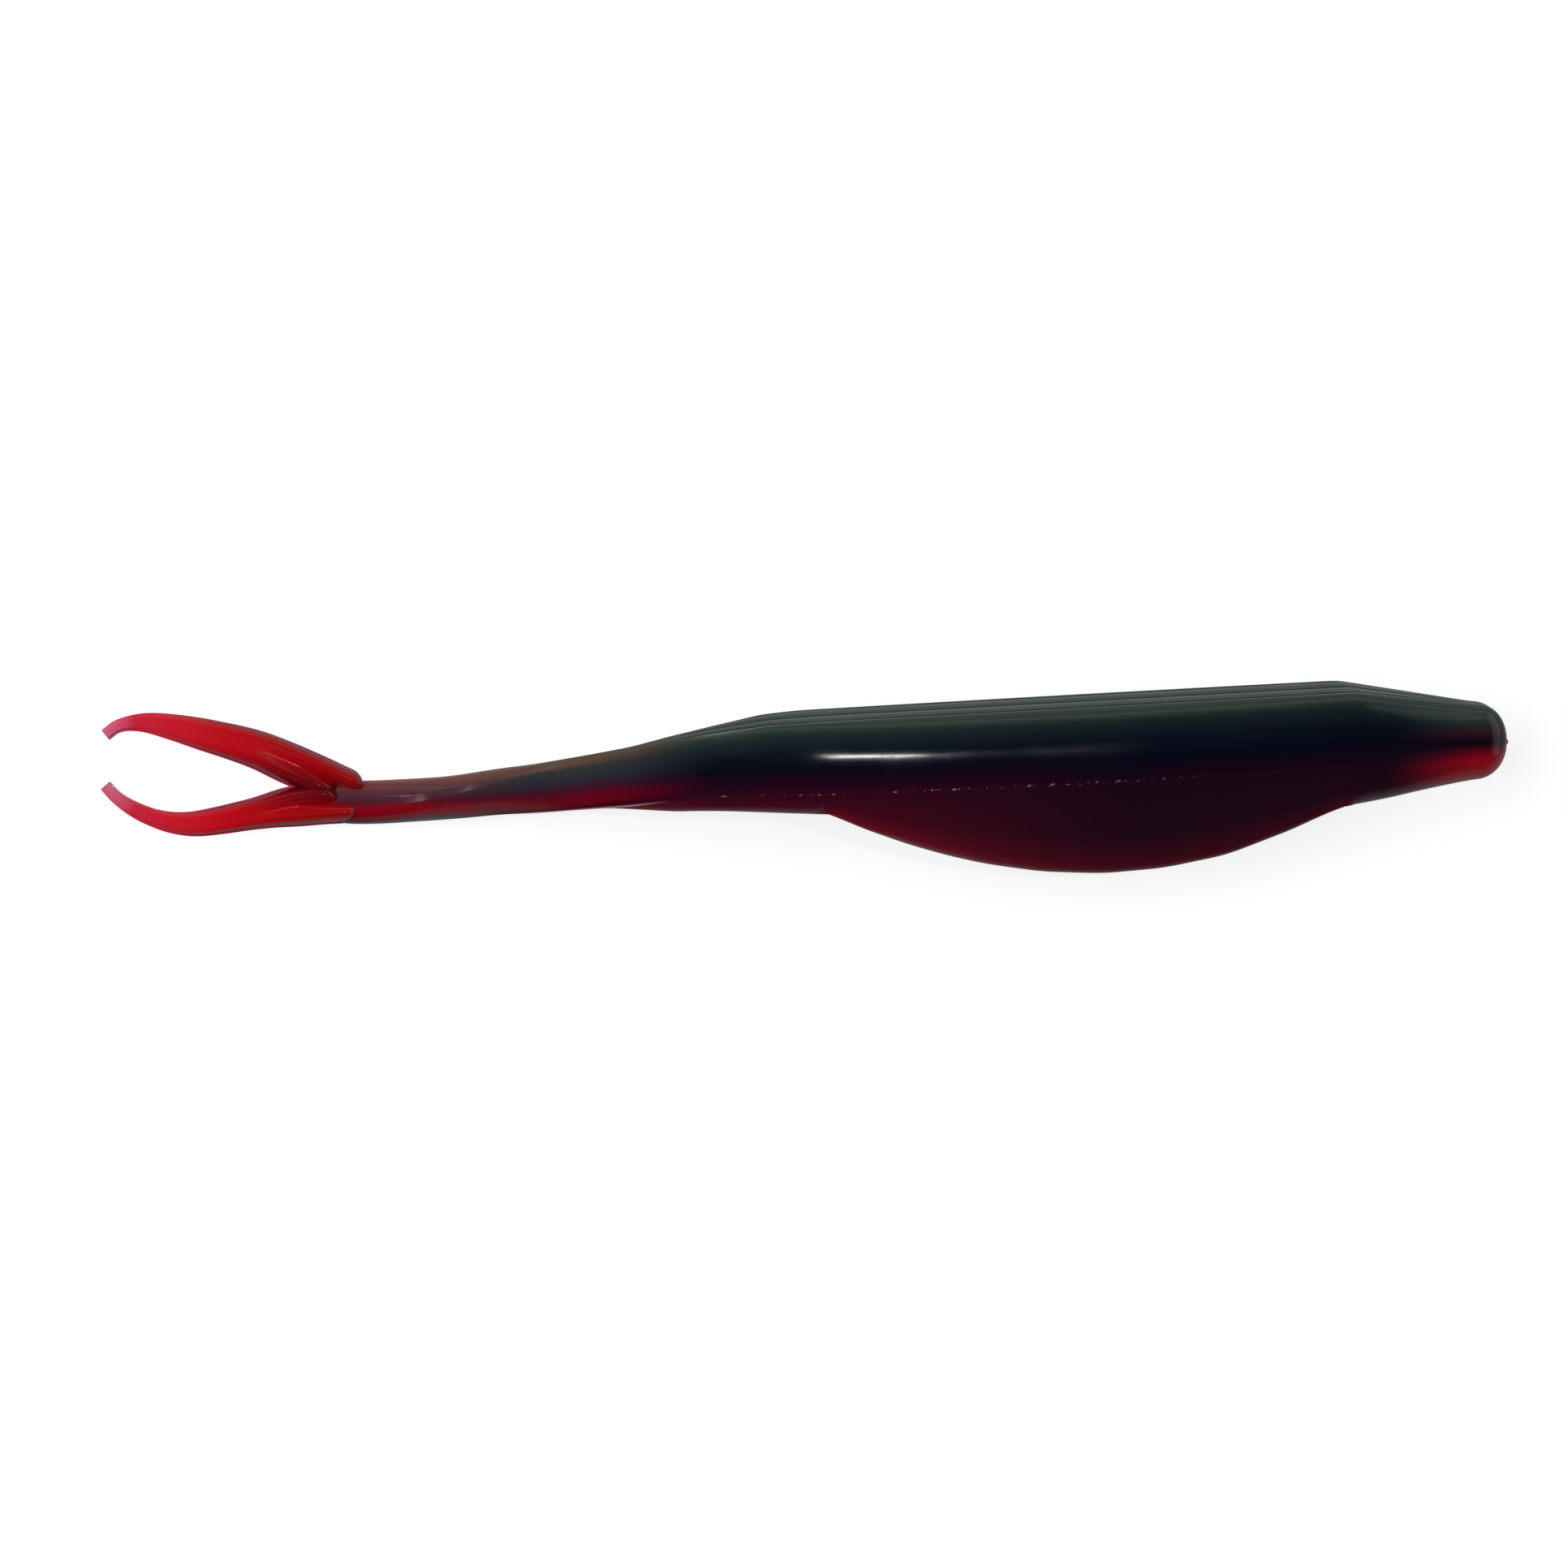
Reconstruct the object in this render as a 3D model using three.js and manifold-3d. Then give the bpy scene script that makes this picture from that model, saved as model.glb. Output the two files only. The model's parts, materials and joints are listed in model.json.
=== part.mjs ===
// A forked-tail soft plastic bait, lying on its side.
//
// Millimetres. +X runs from the fork to the nose, +Y from the belly to the back and +Z up from the table.
// The body is described by cross-sections along a station line: station 0 is the tip of the fork and the
// station grows towards the nose. In a cross-section, "side" is the distance from the middle plane, positive
// on the right flank, and "rise" is the distance from the mould's parting plane, positive towards the back.
import * as THREE from 'three';
import { mergeVertices } from 'three/addons/utils/BufferGeometryUtils.js';
import Module from 'manifold-3d';

const wasm = await Module();
wasm.setup();

// ---- Driving dimensions -------------------------------------------------------------------------------

// Lengths along the station line, from the fork to the nose.
const TINE_TIP_LENGTH = 8.5;
const TINE_BASE_LENGTH = 8;
const FORK_ROOT_LENGTH = 13;
const STEM_REAR_LENGTH = 8;
const STEM_MIDDLE_LENGTH = 6.5;
const STEM_FRONT_LENGTH = 7.5;
const WAIST_LENGTH = 12;
const TRUNK_LENGTH = 56;
const HEAD_LENGTH = 13.5;

// Body: half-widths at the parting plane, heights above it and depths below it.
const TRUNK_HALF_WIDTH = 6;
const NECK_HALF_WIDTH = 4.9;
const NOSE_HALF_WIDTH = 3.1;
const WAIST_HALF_WIDTH = 5;
const WAIST_REAR_HALF_WIDTH = 2.95;
const STEM_MIDDLE_HALF_WIDTH = 1.96;
const STEM_HALF_WIDTH = 1.75;
const TRUNK_BACK_HEIGHT = 6.45;
const TRUNK_REAR_BACK_HEIGHT = 6.15;
const NECK_BACK_HEIGHT = 5.74;
const NOSE_BACK_HEIGHT = 3.9;
const WAIST_REAR_BACK_HEIGHT = 4.6;
const STEM_HEIGHT = 3.3;
const TRUNK_BELLY_DEPTH_REAR = 3.5;
const TRUNK_BELLY_DEPTH_FRONT = 4.9;
const NECK_BELLY_DEPTH = 4.75;
const NOSE_BELLY_DEPTH = 3.8;
const WAIST_BELLY_DEPTH = 3.22;
const WAIST_REAR_BELLY_DEPTH = 1.5;
const STEM_MIDDLE_BELLY_DEPTH = 0.18;
const STEM_BELLY_DEPTH = 0.06;
const NOSE_ROUND_LENGTH = 3;
const GATE_SCAR_SHARE = 0.2;
const BACK_PEAK_SETBACK = 2;
const FLANK_ROUNDNESS = 2.2;

// Back ribs: one in the middle and one on each side. They fade towards both ends, by these shares.
const RIB_SPACING = 2;
const RIB_HEIGHT = 0.3;
const RIB_SHARE_STEM = 0.6;
const RIB_SHARE_NECK = 0.9;
const RIB_SHARE_NOSE = 0.35;
const RIB_FOOT = 1.3;
const RIB_FOOT_SHARE = 0.7;

// Keel: two flaps with the hook slot between them.
const KEEL_DEPTH = 9.9;
const KEEL_LIP_HALF_WIDTH = 3.3;
const KEEL_LIP_RADIUS = 0.8;
const KEEL_SETBACK_FRONT = 4.2;
const KEEL_SETBACK_REAR = 5.2;
const KEEL_END_DROP = 0.6;
const KEEL_REAR_SHARE = 0.82;
const KEEL_FRONT_SHARE = 0.9;
const KEEL_FAIRING = 4;
const KEEL_LIP_EASE = 0.3;
const KEEL_INNER_LIP_EASE = 0.4;
const SLOT_WIDTH = 2;
const SLOT_GROOVE_DEPTH = 1.4;
const FLAP_HINGE_SIDE = 4.6;

// Fork: its tines are flat underneath and lie on the table.
const TINE_ROOT_HALF_WIDTH = 1.75;
const TINE_MIDDLE_HALF_WIDTH = 1.45;
const TINE_TIP_HALF_WIDTH = 0.45;
const TINE_ROOT_HEIGHT = 1.9;
const TINE_TIP_HEIGHT = 0.5;
const TINE_GROOVE_DEPTH = 0.3;
const TINE_ROOT_ASIDE = 0.8;
const TINE_LOBE_SHARE = 0.94;
const TINE_LOBE_LENGTH_SHARE = 0.07;
const FORK_SPREAD_LEFT = 6.9;
const FORK_SPREAD_RIGHT = 2.3;
const TINE_HOOK_LEFT = 1;
const TINE_HOOK_RIGHT = 4.2;
const TINE_BOW_LEFT = 0;
const TINE_BOW_RIGHT = 0.42;

// Gate nub, left on the nose where the pour was cut from its sprue.
const GATE_NUB_RADIUS = 0.45;
const GATE_NUB_LENGTH = 0.35;

// The two pours meet at the parting plane in the trunk and above it in the stem.
const STEM_POUR_SPLIT = 1.2;
const POUR_SPLIT_LEAD = 3;

// Clearance between neighbouring solids, and the bend that each knuckle allows.
const GAP = 0.3;
const NECK_BEND = 12;
const WAIST_BEND = 15;
const STEM_BEND = 20;
const FORK_BEND = 25;
const TINE_SPREAD = 14;
const TINE_CURL = 30;
const KNUCKLE_REACH = 1.2;
const POUR_REACH = 1.3;
const OVERLAP = 0.5;

// How the bait lies: the trunk slants across the table, and the stem twists until the fork is flat.
const TRUNK_SLANT = 3.1;
const STEM_OFFSET = 3.5;
const FORK_ROLL = 90;
const STRAIGHT_WAIST_SHARE = 0.45;
const FORK_FLAT_LENGTH = 6;
const ROLL_LEAD = 1;
const ROLL_LAG = 3;

// Mesh fineness.
const STATION_STEP = 2;
const FLANK_POINTS = 6;
const BELLY_POINTS = 4;
const KNUCKLE_SIDES = 24;
const REACH = 16;

// ---- Stations -----------------------------------------------------------------------------------------

const TINE_CURL_STATION = TINE_TIP_LENGTH;
const TINE_SPREAD_STATION = TINE_CURL_STATION + TINE_BASE_LENGTH;
const FORK_HINGE = TINE_SPREAD_STATION + FORK_ROOT_LENGTH;
const STEM_TWIST = FORK_HINGE + STEM_REAR_LENGTH;
const STEM_NOD = STEM_TWIST + STEM_MIDDLE_LENGTH;
const STEM_HINGE = STEM_NOD + STEM_FRONT_LENGTH;
const WAIST_HINGE = STEM_HINGE + WAIST_LENGTH;
const NECK_HINGE = WAIST_HINGE + TRUNK_LENGTH;
const NOSE = NECK_HINGE + HEAD_LENGTH;
const KEEL_REAR = WAIST_HINGE + KEEL_SETBACK_REAR;
const KEEL_FRONT = NECK_HINGE - KEEL_SETBACK_FRONT;
const KEEL_MIDDLE = KEEL_REAR + 0.5 * (KEEL_FRONT - KEEL_REAR);
const FORK_END = FORK_HINGE - FORK_FLAT_LENGTH;
const NOSE_SHOULDER = NOSE - NOSE_ROUND_LENGTH;

// ---- Curves along the bait ----------------------------------------------------------------------------

const radians = THREE.MathUtils.degToRad;
const mix = THREE.MathUtils.lerp;
const ease = THREE.MathUtils.smoothstep;

// A smooth curve through [station, value] points, which never overshoots them.
function profile(points) {
  const slopes = points.map((point, i) => {
    if (i === 0 || i === points.length - 1) {
      const [first, second] = i === 0 ? [point, points[1]] : [points[i - 1], point];
      return (second[1] - first[1]) / (second[0] - first[0]);
    }
    const before = (point[1] - points[i - 1][1]) / (point[0] - points[i - 1][0]);
    const after = (points[i + 1][1] - point[1]) / (points[i + 1][0] - point[0]);
    return before * after <= 0 ? 0 : (2 * before * after) / (before + after);
  });
  return (station) => {
    if (station <= points[0][0]) {
      return points[0][1];
    }
    for (let i = 1; i < points.length; i++) {
      const [from, low] = points[i - 1];
      const [to, high] = points[i];
      if (station <= to) {
        const length = to - from;
        const t = (station - from) / length;
        const bend = (1 - t) * slopes[i - 1] - t * slopes[i];
        return mix(low, high, t * t * (3 - 2 * t)) + t * (1 - t) * length * bend;
      }
    }
    return points[points.length - 1][1];
  };
}

const noseShare = (station) => {
  const past = Math.max(0, station - NOSE_SHOULDER) / NOSE_ROUND_LENGTH;
  return Math.max(GATE_SCAR_SHARE, Math.sqrt(Math.max(0, 1 - past * past)));
};

const bodyHalfWidth = profile([
  [FORK_HINGE, STEM_HALF_WIDTH],
  [STEM_NOD, STEM_MIDDLE_HALF_WIDTH],
  [STEM_HINGE, WAIST_REAR_HALF_WIDTH],
  [WAIST_HINGE, WAIST_HALF_WIDTH],
  [KEEL_MIDDLE, TRUNK_HALF_WIDTH],
  [NECK_HINGE, NECK_HALF_WIDTH],
  [NOSE_SHOULDER, NOSE_HALF_WIDTH],
]);

const bodyBackHeight = profile([
  [FORK_HINGE, STEM_HEIGHT],
  [STEM_NOD, mix(STEM_HEIGHT, WAIST_REAR_BACK_HEIGHT, 0.5)],
  [STEM_HINGE, WAIST_REAR_BACK_HEIGHT],
  [WAIST_HINGE, TRUNK_REAR_BACK_HEIGHT],
  [KEEL_FRONT - BACK_PEAK_SETBACK, TRUNK_BACK_HEIGHT],
  [NECK_HINGE, NECK_BACK_HEIGHT],
  [NOSE_SHOULDER, NOSE_BACK_HEIGHT],
]);

const bodyBellyDepth = profile([
  [FORK_HINGE, STEM_BELLY_DEPTH],
  [STEM_NOD, STEM_MIDDLE_BELLY_DEPTH],
  [STEM_HINGE, WAIST_REAR_BELLY_DEPTH],
  [WAIST_HINGE, WAIST_BELLY_DEPTH],
  [KEEL_REAR, TRUNK_BELLY_DEPTH_REAR],
  [KEEL_FRONT, TRUNK_BELLY_DEPTH_FRONT],
  [NECK_HINGE, NECK_BELLY_DEPTH],
  [NOSE_SHOULDER, NOSE_BELLY_DEPTH],
]);

const keelDepth = profile([
  [KEEL_REAR, TRUNK_BELLY_DEPTH_REAR + KEEL_END_DROP],
  [mix(KEEL_REAR, KEEL_MIDDLE, 0.5), KEEL_DEPTH * KEEL_REAR_SHARE],
  [KEEL_MIDDLE, KEEL_DEPTH],
  [mix(KEEL_MIDDLE, KEEL_FRONT, 0.5), KEEL_DEPTH * KEEL_FRONT_SHARE],
  [KEEL_FRONT, TRUNK_BELLY_DEPTH_FRONT + KEEL_END_DROP],
]);

const pourSplit = profile([
  [STEM_HINGE - POUR_SPLIT_LEAD, STEM_POUR_SPLIT],
  [WAIST_HINGE, 0],
]);

const ribShare = profile([
  [STEM_HINGE, RIB_SHARE_STEM],
  [WAIST_HINGE, 1],
  [NECK_HINGE, RIB_SHARE_NECK],
  [NOSE_SHOULDER, RIB_SHARE_NOSE],
]);

// The straight flank below the parting plane leans in as far as the keel's lip, so the bait rests on it.
const trunkRoll = THREE.MathUtils.radToDeg(Math.atan2(TRUNK_HALF_WIDTH - KEEL_LIP_HALF_WIDTH, KEEL_DEPTH));
const trunkHeight = TRUNK_HALF_WIDTH * Math.cos(radians(trunkRoll));

// ---- The station line in space ------------------------------------------------------------------------

const straightFrom = STEM_HINGE + STRAIGHT_WAIST_SHARE * WAIST_LENGTH;

function lineY(station) {
  const slanted = (station - KEEL_MIDDLE) * Math.tan(radians(TRUNK_SLANT));
  return mix(-STEM_OFFSET, slanted, ease(station, FORK_HINGE + ROLL_LEAD, straightFrom));
}

function lineZ(station) {
  return trunkHeight * ease(station, FORK_END, straightFrom);
}

function lineRoll(station) {
  return mix(FORK_ROLL, trunkRoll, ease(station, FORK_END + ROLL_LEAD, STEM_HINGE + ROLL_LAG));
}

function linePoint(station) {
  return new THREE.Vector3(station, lineY(station), lineZ(station));
}

// The three directions of a cross-section: along the bait, towards the back, and out of the right flank.
function lineFrame(station) {
  const step = 0.05;
  const along = linePoint(station + step).sub(linePoint(station - step)).normalize();
  return frameFrom(along, radians(lineRoll(station)));
}

function frameFrom(along, roll) {
  const level = new THREE.Vector3(0, 0, 1).cross(along).normalize();
  const upright = along.clone().cross(level);
  const back = level.clone().multiplyScalar(Math.cos(roll)).addScaledVector(upright, Math.sin(roll));
  const right = along.clone().cross(back);
  return { along, back, right };
}

function place(station, side, rise) {
  const { back, right } = lineFrame(station);
  return linePoint(station).addScaledVector(right, side).addScaledVector(back, rise);
}

// ---- Cross-sections -----------------------------------------------------------------------------------

// Height of the rounded flank above the parting plane at a distance from the middle plane.
function flankRise(side, halfWidth, height) {
  const full = 1 - Math.min(1, side / halfWidth) ** FLANK_ROUNDNESS;
  return height * full ** (1 / FLANK_ROUNDNESS);
}

// Right half of the body's section, from the middle of the back round to the middle of the belly.
function bodyHalfSection(station) {
  const share = noseShare(station);
  const halfWidth = bodyHalfWidth(station) * share;
  const height = bodyBackHeight(station) * share;
  const depth = bodyBellyDepth(station) * share;
  const spacing = RIB_SPACING * ribShare(station) * share;
  const foot = spacing * RIB_FOOT;
  const rib = RIB_HEIGHT * ribShare(station) * share;
  const points = [
    [0, height],
    [spacing / 2, flankRise(spacing / 2, halfWidth, height) - rib],
    [spacing, flankRise(spacing, halfWidth, height)],
    [foot, flankRise(foot, halfWidth, height) - rib * RIB_FOOT_SHARE],
  ];
  const start = Math.asin(Math.min(1, foot / halfWidth));
  for (let i = 1; i <= FLANK_POINTS; i++) {
    const angle = mix(start, Math.PI / 2, i / FLANK_POINTS);
    const side = halfWidth * Math.sin(angle);
    points.push([side, i === FLANK_POINTS ? 0 : flankRise(side, halfWidth, height)]);
  }
  const pastRear = ease(station, KEEL_REAR - KEEL_FAIRING, KEEL_REAR);
  const keelShare = pastRear * (1 - ease(station, KEEL_FRONT, NECK_HINGE));
  const rootHalfWidth = flankHalfWidth(station, depth);
  for (let i = 1; i <= BELLY_POINTS; i++) {
    const t = i / BELLY_POINTS;
    const angle = (t * Math.PI) / 2;
    const round = [halfWidth * Math.cos(angle), -depth * Math.sin(angle)];
    const corner = BELLY_POINTS - 1;
    const straight = i <= corner
      ? [mix(halfWidth, rootHalfWidth, i / corner), (-depth * i) / corner]
      : [0, -depth];
    points.push([mix(round[0], straight[0], keelShare), mix(round[1], straight[1], keelShare)]);
  }
  points[points.length - 1][0] = 0;
  return points;
}

function bodySection(station) {
  const right = bodyHalfSection(station);
  const left = right.slice(1, -1).reverse().map(([side, rise]) => [-side, rise]);
  return [...right, ...left];
}

// Half-width of the straight flank that runs from the parting plane down to the keel's lip.
function flankHalfWidth(station, depth) {
  const lean = (TRUNK_HALF_WIDTH - KEEL_LIP_HALF_WIDTH) / KEEL_DEPTH;
  return bodyHalfWidth(station) - lean * depth;
}

// One keel flap: a wall from the belly down to the rounded lip, beside the hook slot.
function flapSection(station, sign) {
  const inner = SLOT_WIDTH / 2;
  const top = bodyBellyDepth(station) + GAP;
  const bottom = keelDepth(station);
  const lip = Math.min(KEEL_LIP_RADIUS, (bottom - top) / 2);
  const halfway = (top + bottom - lip) / 2;
  const points = [
    [inner, -top],
    [flankHalfWidth(station, top), -top],
    [flankHalfWidth(station, halfway), -halfway],
    [flankHalfWidth(station, bottom - lip), lip - bottom],
    [flankHalfWidth(station, bottom) - lip * KEEL_LIP_EASE, lip * KEEL_LIP_EASE - bottom],
    [flankHalfWidth(station, bottom) - lip, -bottom],
    [inner + lip * KEEL_INNER_LIP_EASE, -bottom],
    [inner, lip * KEEL_INNER_LIP_EASE - bottom],
  ];
  return sign > 0 ? points : points.map(([side, rise]) => [-side, rise]).reverse();
}

// ---- Lofted solids ------------------------------------------------------------------------------------

function merged(geometry) {
  const clean = geometry.clone();
  clean.deleteAttribute('normal');
  clean.deleteAttribute('uv');
  return mergeVertices(clean, 1e-5);
}

function solidFrom(geometry) {
  const closed = merged(geometry);
  const mesh = new wasm.Mesh({
    numProp: 3,
    vertProperties: new Float32Array(closed.attributes.position.array),
    triVerts: new Uint32Array(closed.index.array),
  });
  mesh.merge();
  return new wasm.Manifold(mesh);
}

function geometryFrom(solid) {
  const mesh = solid.getMesh();
  const geometry = new THREE.BufferGeometry();
  geometry.setAttribute('position', new THREE.BufferAttribute(mesh.vertProperties, 3));
  geometry.setIndex(new THREE.BufferAttribute(mesh.triVerts, 1));
  geometry.computeVertexNormals();
  return geometry;
}

// A cylinder whose rows follow the stations and whose columns follow the points of each section.
function loft(stations, sectionAt, placeAt) {
  const columns = sectionAt(stations[0]).length;
  const rows = stations.length - 1;
  const geometry = new THREE.CylinderGeometry(1, 1, rows, columns, rows);
  const position = geometry.attributes.position;
  const point = new THREE.Vector3();
  for (let i = 0; i < position.count; i++) {
    point.fromBufferAttribute(position, i);
    const row = Math.round(point.y + rows / 2);
    const section = sectionAt(stations[row]);
    let [side, rise] = middleOf(section);
    if (Math.hypot(point.x, point.z) > 0.5) {
      const turn = Math.atan2(point.x, point.z) / (2 * Math.PI);
      const column = (Math.round(turn * columns) + columns) % columns;
      [side, rise] = section[column];
    }
    const placed = placeAt(stations[row], side, rise);
    position.setXYZ(i, placed.x, placed.y, placed.z);
  }
  return solidFrom(geometry);
}

function middleOf(section) {
  const side = section.reduce((sum, point) => sum + point[0], 0) / section.length;
  const rise = section.reduce((sum, point) => sum + point[1], 0) / section.length;
  return [side, rise];
}

// A rectangular section of one half-width, between two rises.
function slabSection(halfWidth, top, bottom) {
  const right = [[0, top], [halfWidth, top], [halfWidth, bottom]];
  return [...right, [0, bottom], [-halfWidth, bottom], [-halfWidth, top]];
}

function stationsBetween(from, to, step = STATION_STEP) {
  const count = Math.max(1, Math.ceil((to - from) / step));
  return Array.from({ length: count + 1 }, (_, i) => mix(from, to, i / count));
}

function bodyBetween(from, to) {
  return loft(stationsBetween(from, to), bodySection, place);
}

// The head's stations crowd towards the rounded nose.
function headBetween(from, to) {
  const stations = stationsBetween(from, NOSE_SHOULDER);
  const roundSteps = 5;
  for (let i = 1; i <= roundSteps; i++) {
    stations.push(NOSE_SHOULDER + (to - NOSE_SHOULDER) * Math.sin((i / roundSteps) * (Math.PI / 2)));
  }
  return loft(stations, bodySection, place);
}

// ---- Knuckles -----------------------------------------------------------------------------------------

// A round bar on a hinge axis. A knuckle is the bar itself, and its socket is a bar one gap larger.
function bar(point, axis, radius, length) {
  const geometry = new THREE.CylinderGeometry(radius, radius, length, KNUCKLE_SIDES, 1);
  const turn = new THREE.Quaternion().setFromUnitVectors(new THREE.Vector3(0, 1, 0), axis);
  geometry.applyMatrix4(new THREE.Matrix4().compose(point, turn, new THREE.Vector3(1, 1, 1)));
  return solidFrom(geometry);
}

// How far a socket's mouth stands off its hinge, so that flanks a radius away clear it at full bend.
const mouth = (radius, bend) => radius * Math.sin(radians(bend)) + GAP;

function lineHinge(station, direction, rise, radius, bend) {
  const axis = lineFrame(station)[direction];
  return { station, point: place(station, 0, rise), axis, radius, mouth: mouth(radius, bend) };
}

const neck = lineHinge(NECK_HINGE, 'back', 0, bodyHalfWidth(NECK_HINGE), NECK_BEND);
const waist = lineHinge(WAIST_HINGE, 'back', 0, bodyHalfWidth(WAIST_HINGE), WAIST_BEND);
const stem = lineHinge(STEM_HINGE, 'back', 0, bodyHalfWidth(STEM_HINGE), STEM_BEND);
const nodRadius = (bodyBackHeight(STEM_NOD) + bodyBellyDepth(STEM_NOD)) / 2;
const nodRise = (bodyBackHeight(STEM_NOD) - bodyBellyDepth(STEM_NOD)) / 2;
const nod = lineHinge(STEM_NOD, 'right', nodRise, nodRadius, STEM_BEND);
const twist = lineHinge(STEM_TWIST, 'along', STEM_HEIGHT / 2, 0, 0);
const forkBend = lineHinge(FORK_HINGE, 'back', 0, bodyHalfWidth(FORK_HINGE), FORK_BEND);

const knuckleBar = (hinge) => bar(hinge.point, hinge.axis, hinge.radius, REACH * 2);
const socketBar = (hinge) => bar(hinge.point, hinge.axis, hinge.radius + GAP, REACH * 2);

// A length of body with a knuckle at its front end, in front of the hinge that it turns on.
function withFrontKnuckle(from, hinge) {
  const tip = bodyBetween(hinge.station - OVERLAP, hinge.station + hinge.radius * KNUCKLE_REACH);
  return bodyBetween(from, hinge.station).add(tip.intersect(knuckleBar(hinge)));
}

// ---- Pours --------------------------------------------------------------------------------------------

// A slab that holds everything on one pour's side of the split, with half the gap left to the other pour.
function pourSpace(from, to, sign) {
  const slab = (station) => {
    const near = pourSplit(station) + (sign * GAP) / 2;
    const far = sign > 0 ? bodyBackHeight(station) + 1 : -bodyBellyDepth(station) - 1;
    return slabSection(bodyHalfWidth(station) + 1, Math.max(near, far), Math.min(near, far));
  };
  return loft(stationsBetween(from, to), slab, place);
}

const colours = {
  back: { color: '#101b20', roughness: 0.28, metalness: 0 },
  belly: { color: '#5a1118', roughness: 0.3, metalness: 0 },
  fork: { color: '#c01422', roughness: 0.32, metalness: 0 },
};

const group = new THREE.Group();

function addNode(name, solid, colour) {
  const mesh = new THREE.Mesh(geometryFrom(solid), new THREE.MeshStandardMaterial(colours[colour]));
  mesh.name = name;
  group.add(mesh);
}

// Divides a length of body into its back pour and its belly pour.
function addPours(name, solid, from, to) {
  addNode(`${name}_back`, solid.intersect(pourSpace(from, to, 1)), 'back');
  addNode(`${name}_belly`, solid.intersect(pourSpace(from, to, -1)), 'belly');
}

// ---- Head, trunk, waist and stem ----------------------------------------------------------------------

const headKnuckle = bodyBetween(NECK_HINGE - neck.radius * KNUCKLE_REACH, NECK_HINGE + OVERLAP);
const head = headBetween(NECK_HINGE, NOSE).add(headKnuckle.intersect(knuckleBar(neck)));
addPours('head', head, NECK_HINGE - neck.radius * POUR_REACH, NOSE + 1);

const slotGroove = loft(
  stationsBetween(KEEL_REAR, KEEL_FRONT, TRUNK_LENGTH / 8),
  (station) => {
    const belly = -bodyBellyDepth(station);
    return slabSection(SLOT_WIDTH / 2, belly + SLOT_GROOVE_DEPTH, belly - 1);
  },
  place,
);
const trunk = bodyBetween(WAIST_HINGE + waist.mouth, NECK_HINGE - neck.mouth)
  .subtract(socketBar(neck))
  .subtract(socketBar(waist))
  .subtract(slotGroove);
addPours('trunk', trunk, WAIST_HINGE, NECK_HINGE);

for (const [side, sign] of [['left', -1], ['right', 1]]) {
  const section = (station) => flapSection(station, sign);
  addNode(`keel_flap_${side}`, loft(stationsBetween(KEEL_REAR, KEEL_FRONT), section, place), 'belly');
}

const waistLength = withFrontKnuckle(STEM_HINGE + stem.mouth, waist).subtract(socketBar(stem));
addPours('waist', waistLength, STEM_HINGE, WAIST_HINGE + waist.radius * POUR_REACH);

const stemFront = withFrontKnuckle(STEM_NOD + nod.mouth, stem).subtract(socketBar(nod));
addPours('stem_front', stemFront, STEM_NOD, STEM_HINGE + stem.radius * POUR_REACH);

const stemMiddle = withFrontKnuckle(STEM_TWIST + GAP / 2, nod);
addPours('stem_middle', stemMiddle, STEM_TWIST, STEM_NOD + nod.radius * POUR_REACH);

const stemRear = bodyBetween(FORK_HINGE + forkBend.mouth, STEM_TWIST - GAP / 2)
  .subtract(socketBar(forkBend));
addPours('stem_rear', stemRear, FORK_HINGE, STEM_TWIST);

// ---- Fork ---------------------------------------------------------------------------------------------

// A tine's route over the table: out from its root beside the stem, then hooked back at its tip. Each point
// is a station and how far the tine is aside there. A bowed tine stays close to the middle for longer.
function tineRoute(sign, spread, hook, bow) {
  const spreadBy = (share) => mix(TINE_ROOT_ASIDE, spread, share);
  const points = [
    [TINE_TIP_LENGTH * 0.05, spread - hook],
    [TINE_TIP_LENGTH * 0.4, spread - hook * bow],
    [TINE_TIP_LENGTH * 0.72, spread * 0.95],
    [TINE_CURL_STATION + 1, spread * (0.9 + bow * 0.1)],
    [TINE_SPREAD_STATION - 1, spreadBy(0.58 - bow * 0.4)],
    [(TINE_SPREAD_STATION + FORK_END) / 2, spreadBy(0.24 - bow * 0.5)],
    [FORK_END + 1, TINE_ROOT_ASIDE],
  ];
  const placed = points.map(([station, aside]) => new THREE.Vector3(station, sign * aside - STEM_OFFSET, 0));
  return new THREE.CatmullRomCurve3(placed);
}

// A tine's section at a share of its route, from its tip to the round lobe at its root.
function tineSection(share) {
  const lobe = Math.sqrt(1 - Math.max(0, (share - TINE_LOBE_SHARE) / TINE_LOBE_LENGTH_SHARE) ** 2);
  const outer = mix(TINE_TIP_HALF_WIDTH, TINE_MIDDLE_HALF_WIDTH, ease(share, -0.1, 0.5));
  const halfWidth = lobe * mix(outer, TINE_ROOT_HALF_WIDTH, ease(share, 0.5, 0.8));
  const height = mix(TINE_TIP_HEIGHT, TINE_ROOT_HEIGHT, ease(share, 0, 0.75));
  const groove = TINE_GROOVE_DEPTH * ease(share, 0.15, 0.6);
  const right = [
    [0, height - groove],
    [halfWidth * 0.45, height],
    [halfWidth * 0.85, height * 0.75],
    [halfWidth, height * 0.3],
    [halfWidth * 0.95, -STEM_BELLY_DEPTH],
    [0, -STEM_BELLY_DEPTH],
  ];
  const left = right.slice(1, -1).reverse().map(([side, rise]) => [-side, rise]);
  return [...right, ...left];
}

function tineFrame(route, share) {
  return frameFrom(route.getTangentAt(THREE.MathUtils.clamp(share, 0, 1)), radians(FORK_ROLL));
}

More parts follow.
